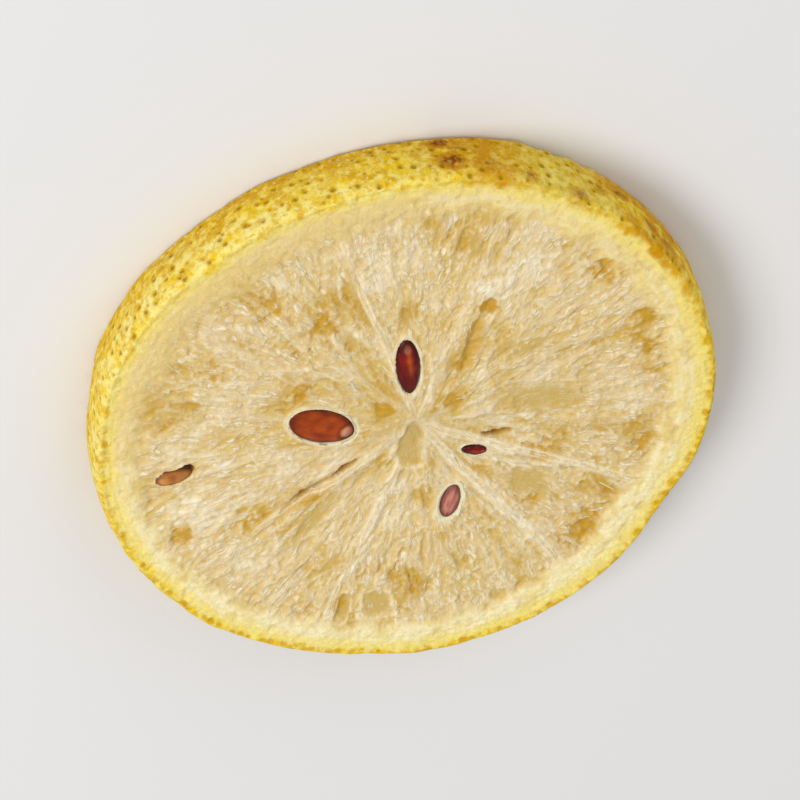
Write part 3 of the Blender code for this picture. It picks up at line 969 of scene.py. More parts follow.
def fibres_piece(face, sizes, material):
    """Torn sac walls that lie on the pulp: soft tapered ridges, mostly along the rays."""
    rng = np.random.default_rng(face.seed + 200)
    face.grow(sizes.pulp_grid)
    count, steps, across = sizes.fibres, 16, 4
    rows = (across + 1) * count - 1
    bm = bmesh.new()
    bmesh.ops.create_grid(bm, x_segments=steps, y_segments=rows, size=1.0)
    face_rows = [(part, round((part.calc_center_median().y + 1) / 2 * rows - 0.5)) for part in bm.faces]
    gaps = [part for part, row in face_rows if row % (across + 1) == across]
    bmesh.ops.delete(bm, geom=gaps, context="FACES")
    co = coordinates(bm)
    row = np.rint((co[:, 1] + 1) / 2 * rows).astype(int)
    strand, side = row // (across + 1), (row % (across + 1)) / across * 2 - 1
    share = (co[:, 0] + 1) / 2

    start_r = np.sqrt(rng.uniform(3.2**2, (PULP_R - 1.2) ** 2, count))
    start_turn = rng.uniform(0, math.tau, count)
    length = rng.uniform(1.4, 4.8, count) * (0.4 + 0.6 * start_r / PULP_R)
    heading = rng.normal(0, 0.30, count)
    curl = rng.normal(0, 0.30, count)
    width = rng.uniform(0.18, 0.40, count)
    rise = rng.uniform(0.02, 0.07, count)
    taper = np.sin(math.pi * np.clip(share, 0.02, 0.98)) ** 0.7
    taper *= 1 + 0.3 * noise(stacked(share * 3.0, strand * 1.7, 0.0), 97)
    turned_by = heading[strand] + curl[strand] * (share - 0.5)
    out = length[strand] * (share - 0.5)
    aside = side * width[strand] / 2 * taper + 0.08 * noise(stacked(share * 2.5, strand * 2.3, 0.0), 98)
    radius = start_r[strand] + out * np.cos(turned_by) - aside * np.sin(turned_by)
    radius = np.clip(radius, 2.0, PULP_R + 0.3)
    turn = start_turn[strand] + (out * np.sin(turned_by) + aside * np.cos(turned_by)) / radius
    x, y, height, glaze = face.at(radius * np.cos(turn), radius * np.sin(turn), "x", "y", "height", "glaze")
    lift = (rise[strand] + 0.05) * taper * np.sqrt(unit(1 - side**2)) - 0.05
    z = THICK + height + lift - 0.3 * glaze
    move_to(bm, stacked(x, y, face.level(z)), 1.0)
    bmesh.ops.remove_doubles(bm, verts=bm.verts, dist=WELD)
    strips = bm.verts[:] + bm.edges[:] + bm.faces[:]
    inner = bmesh.ops.extrude_face_region(bm, geom=strips, use_keep_orig=True)["geom"]
    inward = (0, 0, STRIP_THICK if face is UNDER else -STRIP_THICK)
    bmesh.ops.translate(bm, vec=inward, verts=verts_in(inner))
    move_to(bm, coordinates(bm))
    return make_piece("fibres_" + face.name, bm, material)


def rind_profile(sizes):
    """Closed section of the rind: cut faces, worn corners, bulged wall and the side on the pith."""
    corner = 0.45
    inner, face = PITH_OUT - 0.5, FACE_R - corner
    ring = np.linspace(inner, face, 10)
    wall = np.linspace(THICK - corner, corner, sizes.wall_rows)
    rounded = [
        (face + corner * math.sin(turn), corner - corner * math.cos(turn))
        for turn in (math.pi / 8, math.pi / 4, math.pi * 3 / 8)
    ]
    points = [(float(r), THICK) for r in ring] + [(r, THICK - z) for r, z in rounded]
    for z in wall:
        half = (z - THICK / 2) / (THICK / 2)
        points.append((FACE_R + BULGE * (1 - half**2), float(z)))
    return points + rounded[::-1] + [(float(r), 0.0) for r in ring[::-1]]


def rind_piece(sizes, material):
    """The pitted rind: a ring with a wall, two cut faces and the side on the pith."""
    rng = np.random.default_rng(17)
    bm = turned(rind_profile(sizes), sizes.rim_columns, closed=True)
    co = coordinates(bm)
    radius, angle, z = np.hypot(co[:, 0], co[:, 1]), turn_of(co), co[:, 2].copy()
    along = angle * WALL_R
    around = stacked(WALL_R * np.cos(angle), WALL_R * np.sin(angle), z)
    on_wall = smooth_step(FACE_R - 0.5, FACE_R - 0.1, radius)
    inner_side = radius < PITH_OUT - 0.45

    pore_gap = nearest_gap(along, z, wall_pits(rng, 1.36))
    scaly = angle_weight(angle, 219, 16)
    pebble = noise(around / 1.5, 70)
    folds = noise(stacked(along / 1.6, z / 4.0, 0.3), 71) * (0.05 + 0.13 * scaly)
    folds += 0.12 * noise(stacked(around[:, 0] / 5.0, around[:, 1] / 5.0, z / 3.5), 72)
    push = 0.06 * pebble + folds - 0.15 * smooth_step(0.25, -0.30, pore_gap)
    radius_now = radius + push * on_wall

    glands = cut_glands(rng, GLAND_SPACING, 0.4, 0.6, (0.26, 0.52))
    top, bottom = z > THICK - 0.5, z < 0.5
    gland = nearest_gap(along, radius, glands) + 0.12 * rough_noise(around / 0.8, 73)
    gland = smooth_step(0.14, -0.18, gland) * (1 - 0.7 * on_wall) * (1 - 0.8 * angle_weight(angle, 290, 60))
    flecks = cut_glands(rng, 1.45, 0.3, 0.35, (0.05, 0.20))
    fleck_gap = nearest_gap(along, radius, flecks) + 2 * (1 - angle_weight(angle, 165, 62))
    blank_x, blank_y = place(radius, angle)
    (up, holes_up), (down, holes_down) = (rim_relief(blank_x, blank_y, face.seed) for face in (UPPER, UNDER))
    sink = 0.08 * gland + 0.5 * smooth_step(PITH_OUT + 0.2, PITH_OUT - 0.5, radius) ** 1.5
    sink += 0.4 * inner_side
    cut_face = 1 - smooth_step(FACE_R - 0.7, FACE_R - 0.2, radius)
    z = z + np.where(top, up * cut_face - sink, 0) + np.where(bottom, sink - down * cut_face, 0)

    x, y = place(radius_now, angle)
    z = np.maximum(z, 0.0)
    creased = smooth_step(-0.7, 0.4, noise(stacked(along / 5.0, z / 0.7, 0.2), 74))
    folded = angle_weight(angle, 207, 13) * creased
    tanned = 0.9 * angle_weight(angle, 243, 5) + 1.5 * folded + 0.6 * angle_weight(angle, 144, 5)
    tanned = unit(tanned * (1.0 + 0.8 * rough_noise(around / 1.5, 75)))
    ochre = unit(0.55 * angle_weight(angle, 229, 10) * (0.8 + 0.8 * rough_noise(around / 0.7, 66)))
    # Deeper gold towards the bottom of the wall, most round 247 and 286 degrees, and gold patches from noise.
    gold = smooth_step(0.75, 0.15, z / THICK + 0.30 * rough_noise(around / 2.2, 76))
    gold *= unit(angle_weight(angle, 247, 12) + angle_weight(angle, 286, 16) + 0.45)
    gold = unit(1.4 * gold + 1.2 * smooth_step(0.10, 0.5, rough_noise(around / 1.9, 77)))
    gold *= 1 - 0.8 * angle_weight(angle, 229, 8)
    blobs = smooth_step(-0.05, 0.30, rough_noise(around / 1.4, 79))
    blobs *= smooth_step(PITH_OUT + 0.2, FACE_R - 0.3, radius)
    gold = np.maximum(gold, 0.42 * (1 - on_wall) * angle_weight(angle, 80, 72) * blobs)
    # Painted highlight: the wall grows paler towards its upper corner and on the side that faces the key
    # light, with less gold there.
    light = smooth_step(0.15, 0.85, z / THICK + 0.2 * rough_noise(around / 2.5, 80))
    light = np.maximum(1.2 * angle_weight(angle, 312, 45), 0.4 * angle_weight(angle, 264, 16)) * light
    light = unit(light + 0.35 * smooth_step(0.55, 1.0, z / THICK))
    light = unit(light * (0.8 + 0.9 * rough_noise(around / 2.0, 82)))
    gold *= 1 - 0.5 * light
    blemish = np.zeros(len(x))
    torn = 1 + 0.7 * rough_noise(around / 0.5, 83)
    for at, up, radius_b, strength in BLEMISHES:
        gap = degrees_off(angle, at)
        away = np.hypot(np.radians(gap) * WALL_R, (z - up) * 1.3) / radius_b
        blemish = unit(np.maximum(blemish, strength * torn * bell(away, 0, 1)))
        tanned = np.maximum(tanned, unit(0.7 * strength * torn * bell(away, 1.3, 0.6)))
    tones = {
        "pore": np.minimum(pore_gap + 2 * (1 - on_wall), fleck_gap),
        "gland": gland,
        "sponge": sponge_tone(blank_x, blank_y, radius, angle, np.where(top, holes_up, holes_down)),
        "ochre": ochre,
        "tanned": tanned,
        "gold": gold,
        "light": light,
        "blemish": blemish,
        "cut": (1 - on_wall) * (1 - light),
        "edge": np.where(
            top | bottom,
            1 - smooth_step(0.05, 0.85, radius - PITH_OUT + 0.55 * rough_noise(around / 1.3, 78)),
            0,
        ),
    }
    move_to(bm, stacked(x, y, z))
    return make_piece("rind", bm, material, tones)


# ---------------------------------------------------------------- shaders


def fill(tree, node, inputs):
    """Set or link a node's inputs, by name or number."""
    for key, value in inputs.items():
        if isinstance(value, bpy.types.NodeSocket):
            tree.links.new(value, node.inputs[key])
        else:
            node.inputs[key].default_value = value
    return node


def add(tree, kind, inputs=None, **settings):
    """Add a shader node, with its settings and inputs."""
    node = tree.nodes.new(kind)
    for key, value in settings.items():
        setattr(node, key, value)
    return fill(tree, node, inputs or {})


def math_node(tree, operation, a, b=0.0):
    """A maths node's output."""
    return add(tree, "ShaderNodeMath", {0: a, 1: b}, operation=operation).outputs[0]


def times(tree, a, b):
    """Two values multiplied."""
    return math_node(tree, "MULTIPLY", a, b)


def plus(tree, a, b):
    """The sum of two values."""
    return math_node(tree, "ADD", a, b)


def larger(tree, a, b):
    """The larger of two values."""
    return math_node(tree, "MAXIMUM", a, b)


def blend_colour(tree, factor, first, second, kind="MIX"):
    """Mix two colours by a factor."""
    inputs = {0: factor, 6: first, 7: second}
    return add(tree, "ShaderNodeMix", inputs, data_type="RGBA", blend_type=kind, clamp_factor=True).outputs[2]


def layered(tree, colour, *layers):
    """Colours laid over each other, each by its own factor."""
    for factor, over in layers:
        colour = blend_colour(tree, factor, colour, over)
    return colour


def tone(tree, name, output="Fac"):
    """A value painted on the mesh."""
    return add(tree, "ShaderNodeAttribute", attribute_name=name).outputs[output]


def broken_tone(tree, name, texture, *span):
    """A value painted on the mesh, broken up by a texture moved to another range."""
    return times(tree, tone(tree, name), ranged(tree, texture, *span))


def ranged(tree, value, low, high, to_low=0.0, to_high=1.0):
    """A value moved from one range to another, with smooth ends."""
    node = add(
        tree,
        "ShaderNodeMapRange",
        {"Value": value, "From Min": low, "From Max": high, "To Min": to_low, "To Max": to_high},
        interpolation_type="SMOOTHSTEP",
    )
    return node.outputs["Result"]


def new_group(name, inputs, outputs):
    """A shader node group with named sockets, and its input and output nodes."""
    group = bpy.data.node_groups.new(name, "ShaderNodeTree")
    for label, kind, value in inputs:
        socket = group.interface.new_socket(name=label, in_out="INPUT", socket_type=kind)
        if value is not None:
            socket.default_value = value
    for label, kind in outputs:
        group.interface.new_socket(name=label, in_out="OUTPUT", socket_type=kind)
    return group, group.nodes.new("NodeGroupInput"), group.nodes.new("NodeGroupOutput")


def vector_node(tree, operation, a, b=None, scale=None):
    """A vector maths node's vector."""
    inputs = {0: a} | ({} if b is None else {1: b}) | ({} if scale is None else {"Scale": scale})
    return add(tree, "ShaderNodeVectorMath", inputs, operation=operation).outputs[0]


def use_group(tree, name, maker, inputs):
    """Place a node group in a material or a group; the group is made the first time it is asked for."""
    node = tree.nodes.new("ShaderNodeGroup")
    node.node_tree = bpy.data.node_groups.get(name) or maker()
    return fill(tree, node, inputs).outputs


def dry_grain(tree, point, size):
    """Outputs of the dry grain, with grains of that size in millimetres."""
    return use_group(tree, "dry_grain", dry_grain_group, {"Vector": point, "Size": size})


def ray_fibre(tree, point, fibres, length):
    """Outputs of the ray fibres: so many round the slice, each of that length in millimetres."""
    inputs = {"Vector": point, "Fibres": fibres, "Length": length}
    return use_group(tree, "ray_fibre", ray_fibre_group, inputs)


def noise_texture(tree, point, scale, detail, roughness=0.5):
    """Value of a noise texture."""
    inputs = {"Vector": point, "Scale": scale, "Detail": detail, "Roughness": roughness}
    return add(tree, "ShaderNodeTexNoise", inputs).outputs["Fac"]


def dry_grain_group():
    """Fine grain of dried plant tissue: a height and a speckle, from points in metres."""
    group, source, result = new_group(
        "dry_grain",
        [("Vector", "NodeSocketVector", None), ("Size", "NodeSocketFloat", 0.3)],
        [("Height", "NodeSocketFloat"), ("Speckle", "NodeSocketFloat")],
    )
    size = math_node(group, "DIVIDE", 1 / MM, source.outputs["Size"])
    scaled = vector_node(group, "SCALE", source.outputs["Vector"], scale=size)
    grain = noise_texture(group, scaled, 1.0, 5.0, 0.62)
    pores = add(group, "ShaderNodeTexVoronoi", {"Vector": scaled, "Scale": 0.9}, feature="F1")
    height = plus(group, grain, times(group, pores.outputs["Distance"], 0.55))
    fill(group, result, {"Height": height, "Speckle": ranged(group, grain, 0.35, 0.68)})
    return group


def ray_fibre_group():
    """Fine fibres that run out from the core: broad and fine streaks round 0.5, and a net of cells with
    the distance to its lines and a value for each cell."""
    group, source, result = new_group(
        "ray_fibre",
        [
            ("Vector", "NodeSocketVector", None),
            ("Fibres", "NodeSocketFloat", 55.0),
            ("Length", "NodeSocketFloat", 2.5),
        ],
        [(name, "NodeSocketFloat") for name in ("Streak", "Fine", "Net", "Cell")],
    )
    inputs = {"Vector": source.outputs["Vector"], "Scale": 260.0, "Detail": 2.0}
    wander = add(group, "ShaderNodeTexNoise", inputs)
    offset = vector_node(group, "SUBTRACT", wander.outputs["Color"], (0.5, 0.5, 0.5))
    spread = vector_node(group, "SCALE", offset, scale=0.0022)
    moved = vector_node(group, "ADD", source.outputs["Vector"], spread)
    centred = vector_node(group, "SUBTRACT", moved, (CORE_AT[0] * MM, CORE_AT[1] * MM, 0.0))
    flat = vector_node(group, "MULTIPLY", centred, (1.0, 1.0, 0.0))
    away = add(group, "ShaderNodeVectorMath", {0: flat}, operation="LENGTH").outputs["Value"]
    ray = vector_node(group, "NORMALIZE", flat)
    around = vector_node(group, "SCALE", ray, scale=source.outputs["Fibres"])
    outward = times(group, away, math_node(group, "DIVIDE", 1 / MM, source.outputs["Length"]))
    rise = add(group, "ShaderNodeCombineXYZ", {"Z": outward})
    point = vector_node(group, "ADD", around, rise.outputs[0])
    net = add(group, "ShaderNodeTexVoronoi", {"Vector": point, "Scale": 1.0}, feature="DISTANCE_TO_EDGE")
    cell = add(group, "ShaderNodeTexVoronoi", {"Vector": point, "Scale": 1.0}, feature="F1")
    outputs = {
        "Streak": noise_texture(group, point, 1.0, 3.0, 0.6),
        "Fine": noise_texture(group, point, 2.3, 4.0, 0.65),
        "Net": net.outputs["Distance"],
        "Cell": cell.outputs["Color"],
    }
    fill(group, result, outputs)
    return group


def pith_look_group():
    """Colour and height of spongy pith, from its tones and fine noise."""
    colours = ("Pith", "Pale", "Edge", "Hollow")
    group, source, result = new_group(
        "pith_look",
        [("Vector", "NodeSocketVector", None), ("Sponge", "NodeSocketVector", None)]
        + [(name, "NodeSocketColor", None) for name in colours],
        [("Colour", "NodeSocketColor"), ("Height", "NodeSocketFloat")],
    )
    grain = dry_grain(group, source.outputs["Vector"], 0.36)
    rays = ray_fibre(group, source.outputs["Vector"], 44.0, 0.9)
    tones = add(group, "ShaderNodeSeparateXYZ", {0: source.outputs["Sponge"]}).outputs
    speckle = ranged(group, grain["Speckle"], 0.9, 0.1, 0.0, 0.35)
    colour = layered(
        group,
        source.outputs["Pith"],
        (tones["X"], source.outputs["Pale"]),
        (times(group, tones["Z"], 0.8), source.outputs["Edge"]),
        (larger(group, times(group, tones["Y"], 0.8), speckle), source.outputs["Hollow"]),
        (ranged(group, rays["Fine"], 0.5, 0.72, 0.0, 0.4), source.outputs["Pale"]),
    )
    fill(group, result, {"Colour": colour, "Height": plus(group, grain["Height"], rays["Fine"])})
    return group


def pith_look(tree, point, colours):
    """The pith's colour and height in a material."""
    inputs = {
        "Vector": point,
        "Sponge": tone(tree, "sponge", "Vector"),
        "Pith": colours.pith,
        "Pale": colours.pith_pale,
        "Edge": colours.pith_edge,
        "Hollow": colours.pith_hollow,
    }
    look = use_group(tree, "pith_look", pith_look_group, inputs)
    return look["Colour"], look["Height"]


def new_material(name):
    """A material with its shader, and the object's own coordinates."""
    material = bpy.data.materials.new(name)
    material.use_nodes = True
    tree = material.node_tree
    shader = tree.nodes["Principled BSDF"]
    point = add(tree, "ShaderNodeTexCoord").outputs["Object"]
    return material, tree, shader, point


def set_finish(
    tree, shader, colour, roughness, normal, specular, scatter=0.0, radius=(1.0, 0.7, 0.3), depth=0.4
):
    """Link a surface's colour, roughness and normal, and set how much it shines and how far, in
    millimetres, light goes into it."""
    inputs = {
        "Base Color": colour,
        "Roughness": roughness,
        "Normal": normal,
        "Specular IOR Level": specular,
        "Subsurface Weight": scatter,
        "Subsurface Radius": radius,
        "Subsurface Scale": depth * MM,
    }
    fill(tree, shader, inputs)


def bump(tree, height, strength, distance):
    """A bump node's normal, from a height whose unit is that distance in millimetres."""
    inputs = {"Height": height, "Strength": strength, "Distance": distance * MM}
    return add(tree, "ShaderNodeBump", inputs).outputs["Normal"]


def pulp_material(colours):
    """Dried juice sacs: straw and amber films, whitish walls and froth, pale cream core, painted sparkle on
    the sacs and painted shade in the splits and the groove by the pith.
    """
    material, tree, shader, point = new_material("dried_pulp")
    grain = dry_grain(tree, point, 0.30)
    rays = ray_fibre(tree, point, 40.0, 3.2)
    cells = ray_fibre(tree, point, 33.0, 0.9)
    film, amber, pithy = tone(tree, "film"), tone(tree, "amber"), tone(tree, "pithy")
    pinker = plus(tree, tone(tree, "tint"), ranged(tree, cells["Cell"], 0.3, 0.7, -0.35, 0.35))
    gap = ranged(tree, rays["Streak"], 0.50, 0.30, 0.0, 0.5)
    seam = ranged(tree, cells["Net"], 0.14, 0.0, 0.0, 0.45)
    # Painted sparkle: bright specks in the cells that stand in for tiny highlights; the same specks raise the
    # bump as crumbs.
    crumb_and_sparkle = times(tree, ranged(tree, cells["Cell"], 0.45, 0.68), ranged(tree, cells["Net"], 0.0, 0.16))
    crumb_and_sparkle = times(tree, crumb_and_sparkle, ranged(tree, rays["Fine"], 0.42, 0.58, 0.1, 0.75))
    plain = ranged(tree, larger(tree, film, amber), 0.3, 0.9, 1.0, 0.30)
    bare = ranged(tree, tone(tree, "glaze"), 0.0, 1.0, 1.0, 0.45)
    crumb_and_sparkle = times(tree, times(tree, crumb_and_sparkle, plain), bare)
    white = broken_tone(tree, "white", rays["Fine"], 0.38, 0.58, 0.6, 1.1)
    pith_colour, pith_height = pith_look(tree, point, colours)
    colour = layered(
        tree,
        colours.straw,
        (pinker, colours.beige),
        (larger(tree, film, larger(tree, gap, seam)), colours.golden),
        (amber, colours.amber),
        (broken_tone(tree, "pale", rays["Streak"], 0.35, 0.6, 0.6, 0.95), colours.cream),
        (broken_tone(tree, "glaze", grain["Height"], 0.35, 0.65, 0.35, 0.80), colours.glaze),
        # Whitish walls and froth, with the painted sparkle.
        (larger(tree, white, crumb_and_sparkle), colours.frost),
        # Painted shade in the splits.
        (tone(tree, "split_shade"), colours.split_shade),
        (pithy, pith_colour),
    )
    own = plus(tree, grain["Height"], times(tree, rays["Fine"], 0.7))
    own = plus(tree, own, times(tree, crumb_and_sparkle, 0.9))
    own = times(tree, own, ranged(tree, film, 0.0, 1.0, 1.0, 0.4))
    both = add(tree, "ShaderNodeMix", {0: pithy, 2: own, 3: pith_height}, data_type="FLOAT").outputs[0]
    roughness = ranged(tree, film, 0.0, 1.0, 0.80, 0.50)
    set_finish(tree, shader, colour, roughness, bump(tree, both, 0.6, 0.10), 0.25, 0.10)
    return material


def pith_material(colours):
    """Spongy cream pith."""
    material, tree, shader, point = new_material("dried_pith")
    colour, height = pith_look(tree, point, colours)
    set_finish(tree, shader, colour, 0.82, bump(tree, height, 0.6, 0.10), 0.25, 0.10)
    return material


def rind_material(colours):
    """Lemon yellow peel with golden and ochre patches, dark pores, a paler cut edge and a painted highlight
    along the wall's upper corner and lit side.
    """
    material, tree, shader, point = new_material("dried_rind")
    grain = dry_grain(tree, point, 0.30)
    mottle = noise_texture(tree, point, 900.0, 4.0, 0.65)
    specks = noise_texture(tree, point, 1900.0, 3.0, 0.6)
    web = add(tree, "ShaderNodeTexVoronoi", {"Vector": point, "Scale": 1150.0}, feature="DISTANCE_TO_EDGE")
    web = ranged(tree, plus(tree, web.outputs["Distance"], mottle), 0.78, 0.45, 0.0, 0.6)
    away = plus(tree, tone(tree, "pore"), times(tree, grain["Height"], 0.22))
    pore = ranged(tree, away, 0.24, -0.04)
    pith_colour, _ = pith_look(tree, point, colours)
    colour = layered(
        tree,
        colours.lemon,
        (ranged(tree, mottle, 0.42, 0.53), colours.lemon_deep),
        (broken_tone(tree, "cut", mottle, 0.4, 0.6, 0.8, 0.3), colours.lemon),
        (broken_tone(tree, "gold", mottle, 0.38, 0.56, 0.45, 1.0), colours.gold),
        # Painted highlight along the wall's upper corner and lit side.
        (broken_tone(tree, "light", mottle, 0.44, 0.60, 1.0, 0.2), colours.lemon_pale_and_highlight),
        (ranged(tree, specks, 0.54, 0.64, 0.0, 0.6), colours.lemon_pale_and_highlight),
        (ranged(tree, specks, 0.46, 0.36, 0.0, 0.55), colours.gold),
        (broken_tone(tree, "ochre", mottle, 0.3, 0.7, 0.5, 1.0), colours.ochre),
        (times(tree, web, plus(tree, tone(tree, "ochre"), 0.18)), colours.lemon_pale_and_highlight),
        (broken_tone(tree, "tanned", mottle, 0.35, 0.6, 0.5, 1.0), colours.tanned),
        (times(tree, tone(tree, "gland"), 0.9), colours.gold),
        (tone(tree, "edge"), pith_colour),
        (times(tree, ranged(tree, away, 0.50, 0.10), 0.65), colours.gold),
        (times(tree, pore, 0.75), colours.pore),
        (broken_tone(tree, "blemish", specks, 0.44, 0.60, 1.0, 0.65), colours.blemish),
    )
    roughness = ranged(tree, grain["Speckle"], 0.0, 1.0, 0.48, 0.66)
    relief = math_node(tree, "SUBTRACT", grain["Height"], times(tree, pore, 1.4))
    normal = bump(tree, relief, 0.7, 0.11)
    set_finish(tree, shader, colour, roughness, normal, 0.06, 0.05, (1.0, 0.7, 0.1), 0.6)
    return material


def paper_material(name, colour_thin, colour_thick, scatter):
    """Dried skin of a sac, a membrane or a husk: pale, matt and a little translucent."""
    material, tree, shader, point = new_material(name)
    grain = dry_grain(tree, point, 0.22)
    rays = ray_fibre(tree, point, 90.0, 1.6)
    thin = ranged(tree, rays["Streak"], 0.35, 0.65)
    speckle = times(tree, ranged(tree, grain["Speckle"], 0.6, 0.0), 0.25)
    colour = layered(tree, colour_thick, (thin, colour_thin), (speckle, colour_thick))
    normal = bump(tree, plus(tree, grain["Height"], rays["Fine"]), 0.5, 0.06)
    set_finish(tree, shader, colour, 0.72, normal, 0.35, scatter, (1.0, 0.7, 0.35), 0.6)
    return material


def seed_material(colours):
    """Smooth dried seed coats with fine lengthwise lines, a paler tip on the red-brown seeds, pale streaks on
    the mauve one and a painted highlight at the blunt end of the others.
    """
    material, tree, shader, point = new_material("dried_seed")
    grain = dry_grain(tree, point, 0.35)
    skin = tone(tree, "skin", "Color")
    mottle = noise_texture(tree, point, 800.0, 2.0)
    colour = layered(
        tree,
        blend_colour(tree, 1.0, skin, (0.65, 0.5, 0.55, 1.0), "MULTIPLY"),
        (ranged(tree, mottle, 0.3, 0.7), skin),
        (times(tree, tone(tree, "ribs"), 0.05), colours.seed_light),
        (times(tree, ranged(tree, grain["Speckle"], 0.75, 1.0), 0.06), colours.seed_light),
        # Pale tip and streaks of the seeds, and their painted highlights.
        (times(tree, tone(tree, "tip"), 0.85), colours.seed_tip_and_highlight),
    )
    roughness = ranged(tree, grain["Speckle"], 0.0, 1.0, 0.24, 0.40)
    set_finish(tree, shader, colour, roughness, bump(tree, grain["Height"], 0.25, 0.05), 0.18)
    return material


# ---------------------------------------------------------------- settings


def colour_property(name, description, rgb):
    """A colour that a user may change."""
    return bpy.props.FloatVectorProperty(
        name=name, description=description, default=(*rgb, 1.0), subtype="COLOR", size=4, min=0.0, max=1.0
    )


def count_property(name, description, default):
    """A number of mesh parts that a user may change."""
    return bpy.props.IntProperty(name=name, description=description, default=default)


class SliceSizes(bpy.types.PropertyGroup):
    """Fineness of the slice's meshes."""

    pulp_grid: count_property("Pulp grid", "Mesh cells across each face", 344)
    pith_rings: count_property("Pith rings", "Mesh rings in the pith", 26)
    fibres: count_property("Fibres", "Torn sac walls on each face", 110)
    rim_columns: count_property("Rim columns", "Columns round the rim", 1152)
    wall_rows: count_property("Wall rows", "Mesh rows up the wall", 38)


class SliceColours(bpy.types.PropertyGroup):
    """Colours of the dried fruit."""

    straw: colour_property("Straw", "Juice sacs, yellower", (0.72, 0.51, 0.17))
    beige: colour_property("Beige", "Juice sacs, pinker", (0.75, 0.545, 0.26))
    golden: colour_property("Golden", "Bottom of opened sacs", (0.58, 0.37, 0.045))
    glaze: colour_property("Glaze", "Smooth skin of dried juice", (0.60, 0.41, 0.105))
    amber: colour_property("Amber", "Film of dried juice", (0.58, 0.32, 0.015))
    cream: colour_property("Cream", "Core and thick membranes", (0.78, 0.52, 0.125))
    # Also the colour of the painted sparkle and of the partly painted glints on the pulp.
    frost: colour_property("Frost", "Sac walls and froth", (0.95, 0.87, 0.66))
    # Painted shade in the depth of the splits.
    split_shade: colour_property("Stain", "Depth of the splits", (0.24, 0.085, 0.004))
    pith_edge: colour_property("Pith edge", "Where the pith meets the rind", (0.95, 0.77, 0.14))
    pith_pale: colour_property("Pale pith", "Whiter patches of the pith", (0.98, 0.89, 0.54))
    pith_hollow: colour_property("Pith hollows", "Holes and thin places of the pith", (0.75, 0.54, 0.20))
    pith: colour_property("Pith", "Spongy pith", (0.90, 0.72, 0.25))
    lemon: colour_property("Lemon", "Rind", (0.95, 0.71, 0.04))
    # Pale lemon of the rind's flecks and net, also the colour of its painted highlight.
    lemon_pale_and_highlight: colour_property("Light lemon", "Rind near the cut", (0.88, 0.78, 0.27))
    lemon_deep: colour_property("Deep lemon", "Rind between the glands", (0.83, 0.55, 0.001))
    gold: colour_property("Gold", "Patches and glands", (0.64, 0.35, 0.001))
    ochre: colour_property("Ochre", "Weathered rind", (0.56, 0.46, 0.06))
    tanned: colour_property("Tanned", "Orange-brown stretches of the rind", (0.62, 0.28, 0.003))
    pore: colour_property("Pore", "Openings of the glands", (0.27, 0.19, 0.002))
    blemish: colour_property("Blemish", "Reddish-brown marks", (0.25, 0.052, 0.002))
    membrane: colour_property("Membrane", "Walls between the segments", (0.90, 0.75, 0.40))
    husk: colour_property("Husk", "Papery cups round the seeds", (0.96, 0.88, 0.62))
    husk_deep: colour_property("Deep husk", "Thicker parts of the cups", (0.90, 0.75, 0.38))
    seed_light: colour_property("Seed lines", "Fine lines on the seeds", (0.52, 0.24, 0.09))
    # The pale tip of some seeds, also the colour of the painted highlights on the others.
    seed_tip_and_highlight: colour_property("Seed tip", "Paler end of each seed", (0.72, 0.36, 0.20))


class StageSettings(bpy.types.PropertyGroup):
    """Camera, floor and lights."""

    elevation: bpy.props.FloatProperty(
        name="Elevation", description="Camera's height angle", default=math.radians(48), subtype="ANGLE"
    )
    roll: bpy.props.FloatProperty(
        name="Roll",
        description="Camera's turn about its own axis",
        default=math.radians(180 - 15.8),
        subtype="ANGLE",
    )
    distance: bpy.props.FloatProperty(
        name="Distance", description="Camera to slice", default=0.55, unit="LENGTH", subtype="DISTANCE"
    )
    lens: bpy.props.FloatProperty(name="Lens", description="Focal length in millimetres", default=270.0)
    floor: colour_property("Floor", "Pale matt floor", (0.81, 0.80, 0.79))


# ---------------------------------------------------------------- operators


class PieceMaker:
    """What the operators for the slice's pieces share: they hand on the settings and finish."""

    def execute(self, context):
        self.make(context.scene.slice_sizes, context.scene.slice_colours)
        return {"FINISHED"}


class LEMON_OT_rind(PieceMaker, bpy.types.Operator):
    """Model the pitted yellow rind"""

    bl_idname = "lemon.rind"
    bl_label = "Rind"

    def make(self, sizes, colours):
        rind_piece(sizes, rind_material(colours))


class LEMON_OT_pith(PieceMaker, bpy.types.Operator):
    """Model the ring of pith"""

    bl_idname = "lemon.pith"
    bl_label = "Pith"

    def make(self, sizes, colours):
        pith_piece(sizes, pith_material(colours))


class LEMON_OT_pulp(PieceMaker, bpy.types.Operator):
    """Model the juice sacs of both cut faces"""

    bl_idname = "lemon.pulp"
    bl_label = "Pulp"

    def make(self, sizes, colours):
        material = pulp_material(colours)
        for face in (UPPER, UNDER):
            pulp_piece(face, sizes, material)


class LEMON_OT_membranes(PieceMaker, bpy.types.Operator):
    """Model the papery walls between the segments"""

    bl_idname = "lemon.membranes"
    bl_label = "Membranes"

    def make(self, sizes, colours):
        membranes_piece(sizes, paper_material("papery_membrane", colours.frost, colours.membrane, 0.25))


class LEMON_OT_fibres(PieceMaker, bpy.types.Operator):
    """Model the torn sac walls that lie on both cut faces"""

    bl_idname = "lemon.fibres"
    bl_label = "Fibres"

    def make(self, sizes, colours):
        material = paper_material("papery_fibre", colours.frost, colours.cream, 0.3)
        for face in (UPPER, UNDER):
            fibres_piece(face, sizes, material)


class LEMON_OT_seeds(PieceMaker, bpy.types.Operator):
    """Model the seeds and the pale cups they lie in"""

    bl_idname = "lemon.seeds"
    bl_label = "Seeds"

    def make(self, sizes, colours):
        seeds_piece(seed_material(colours))
        husks_piece(paper_material("papery_husk", colours.husk, colours.husk_deep, 0.3))


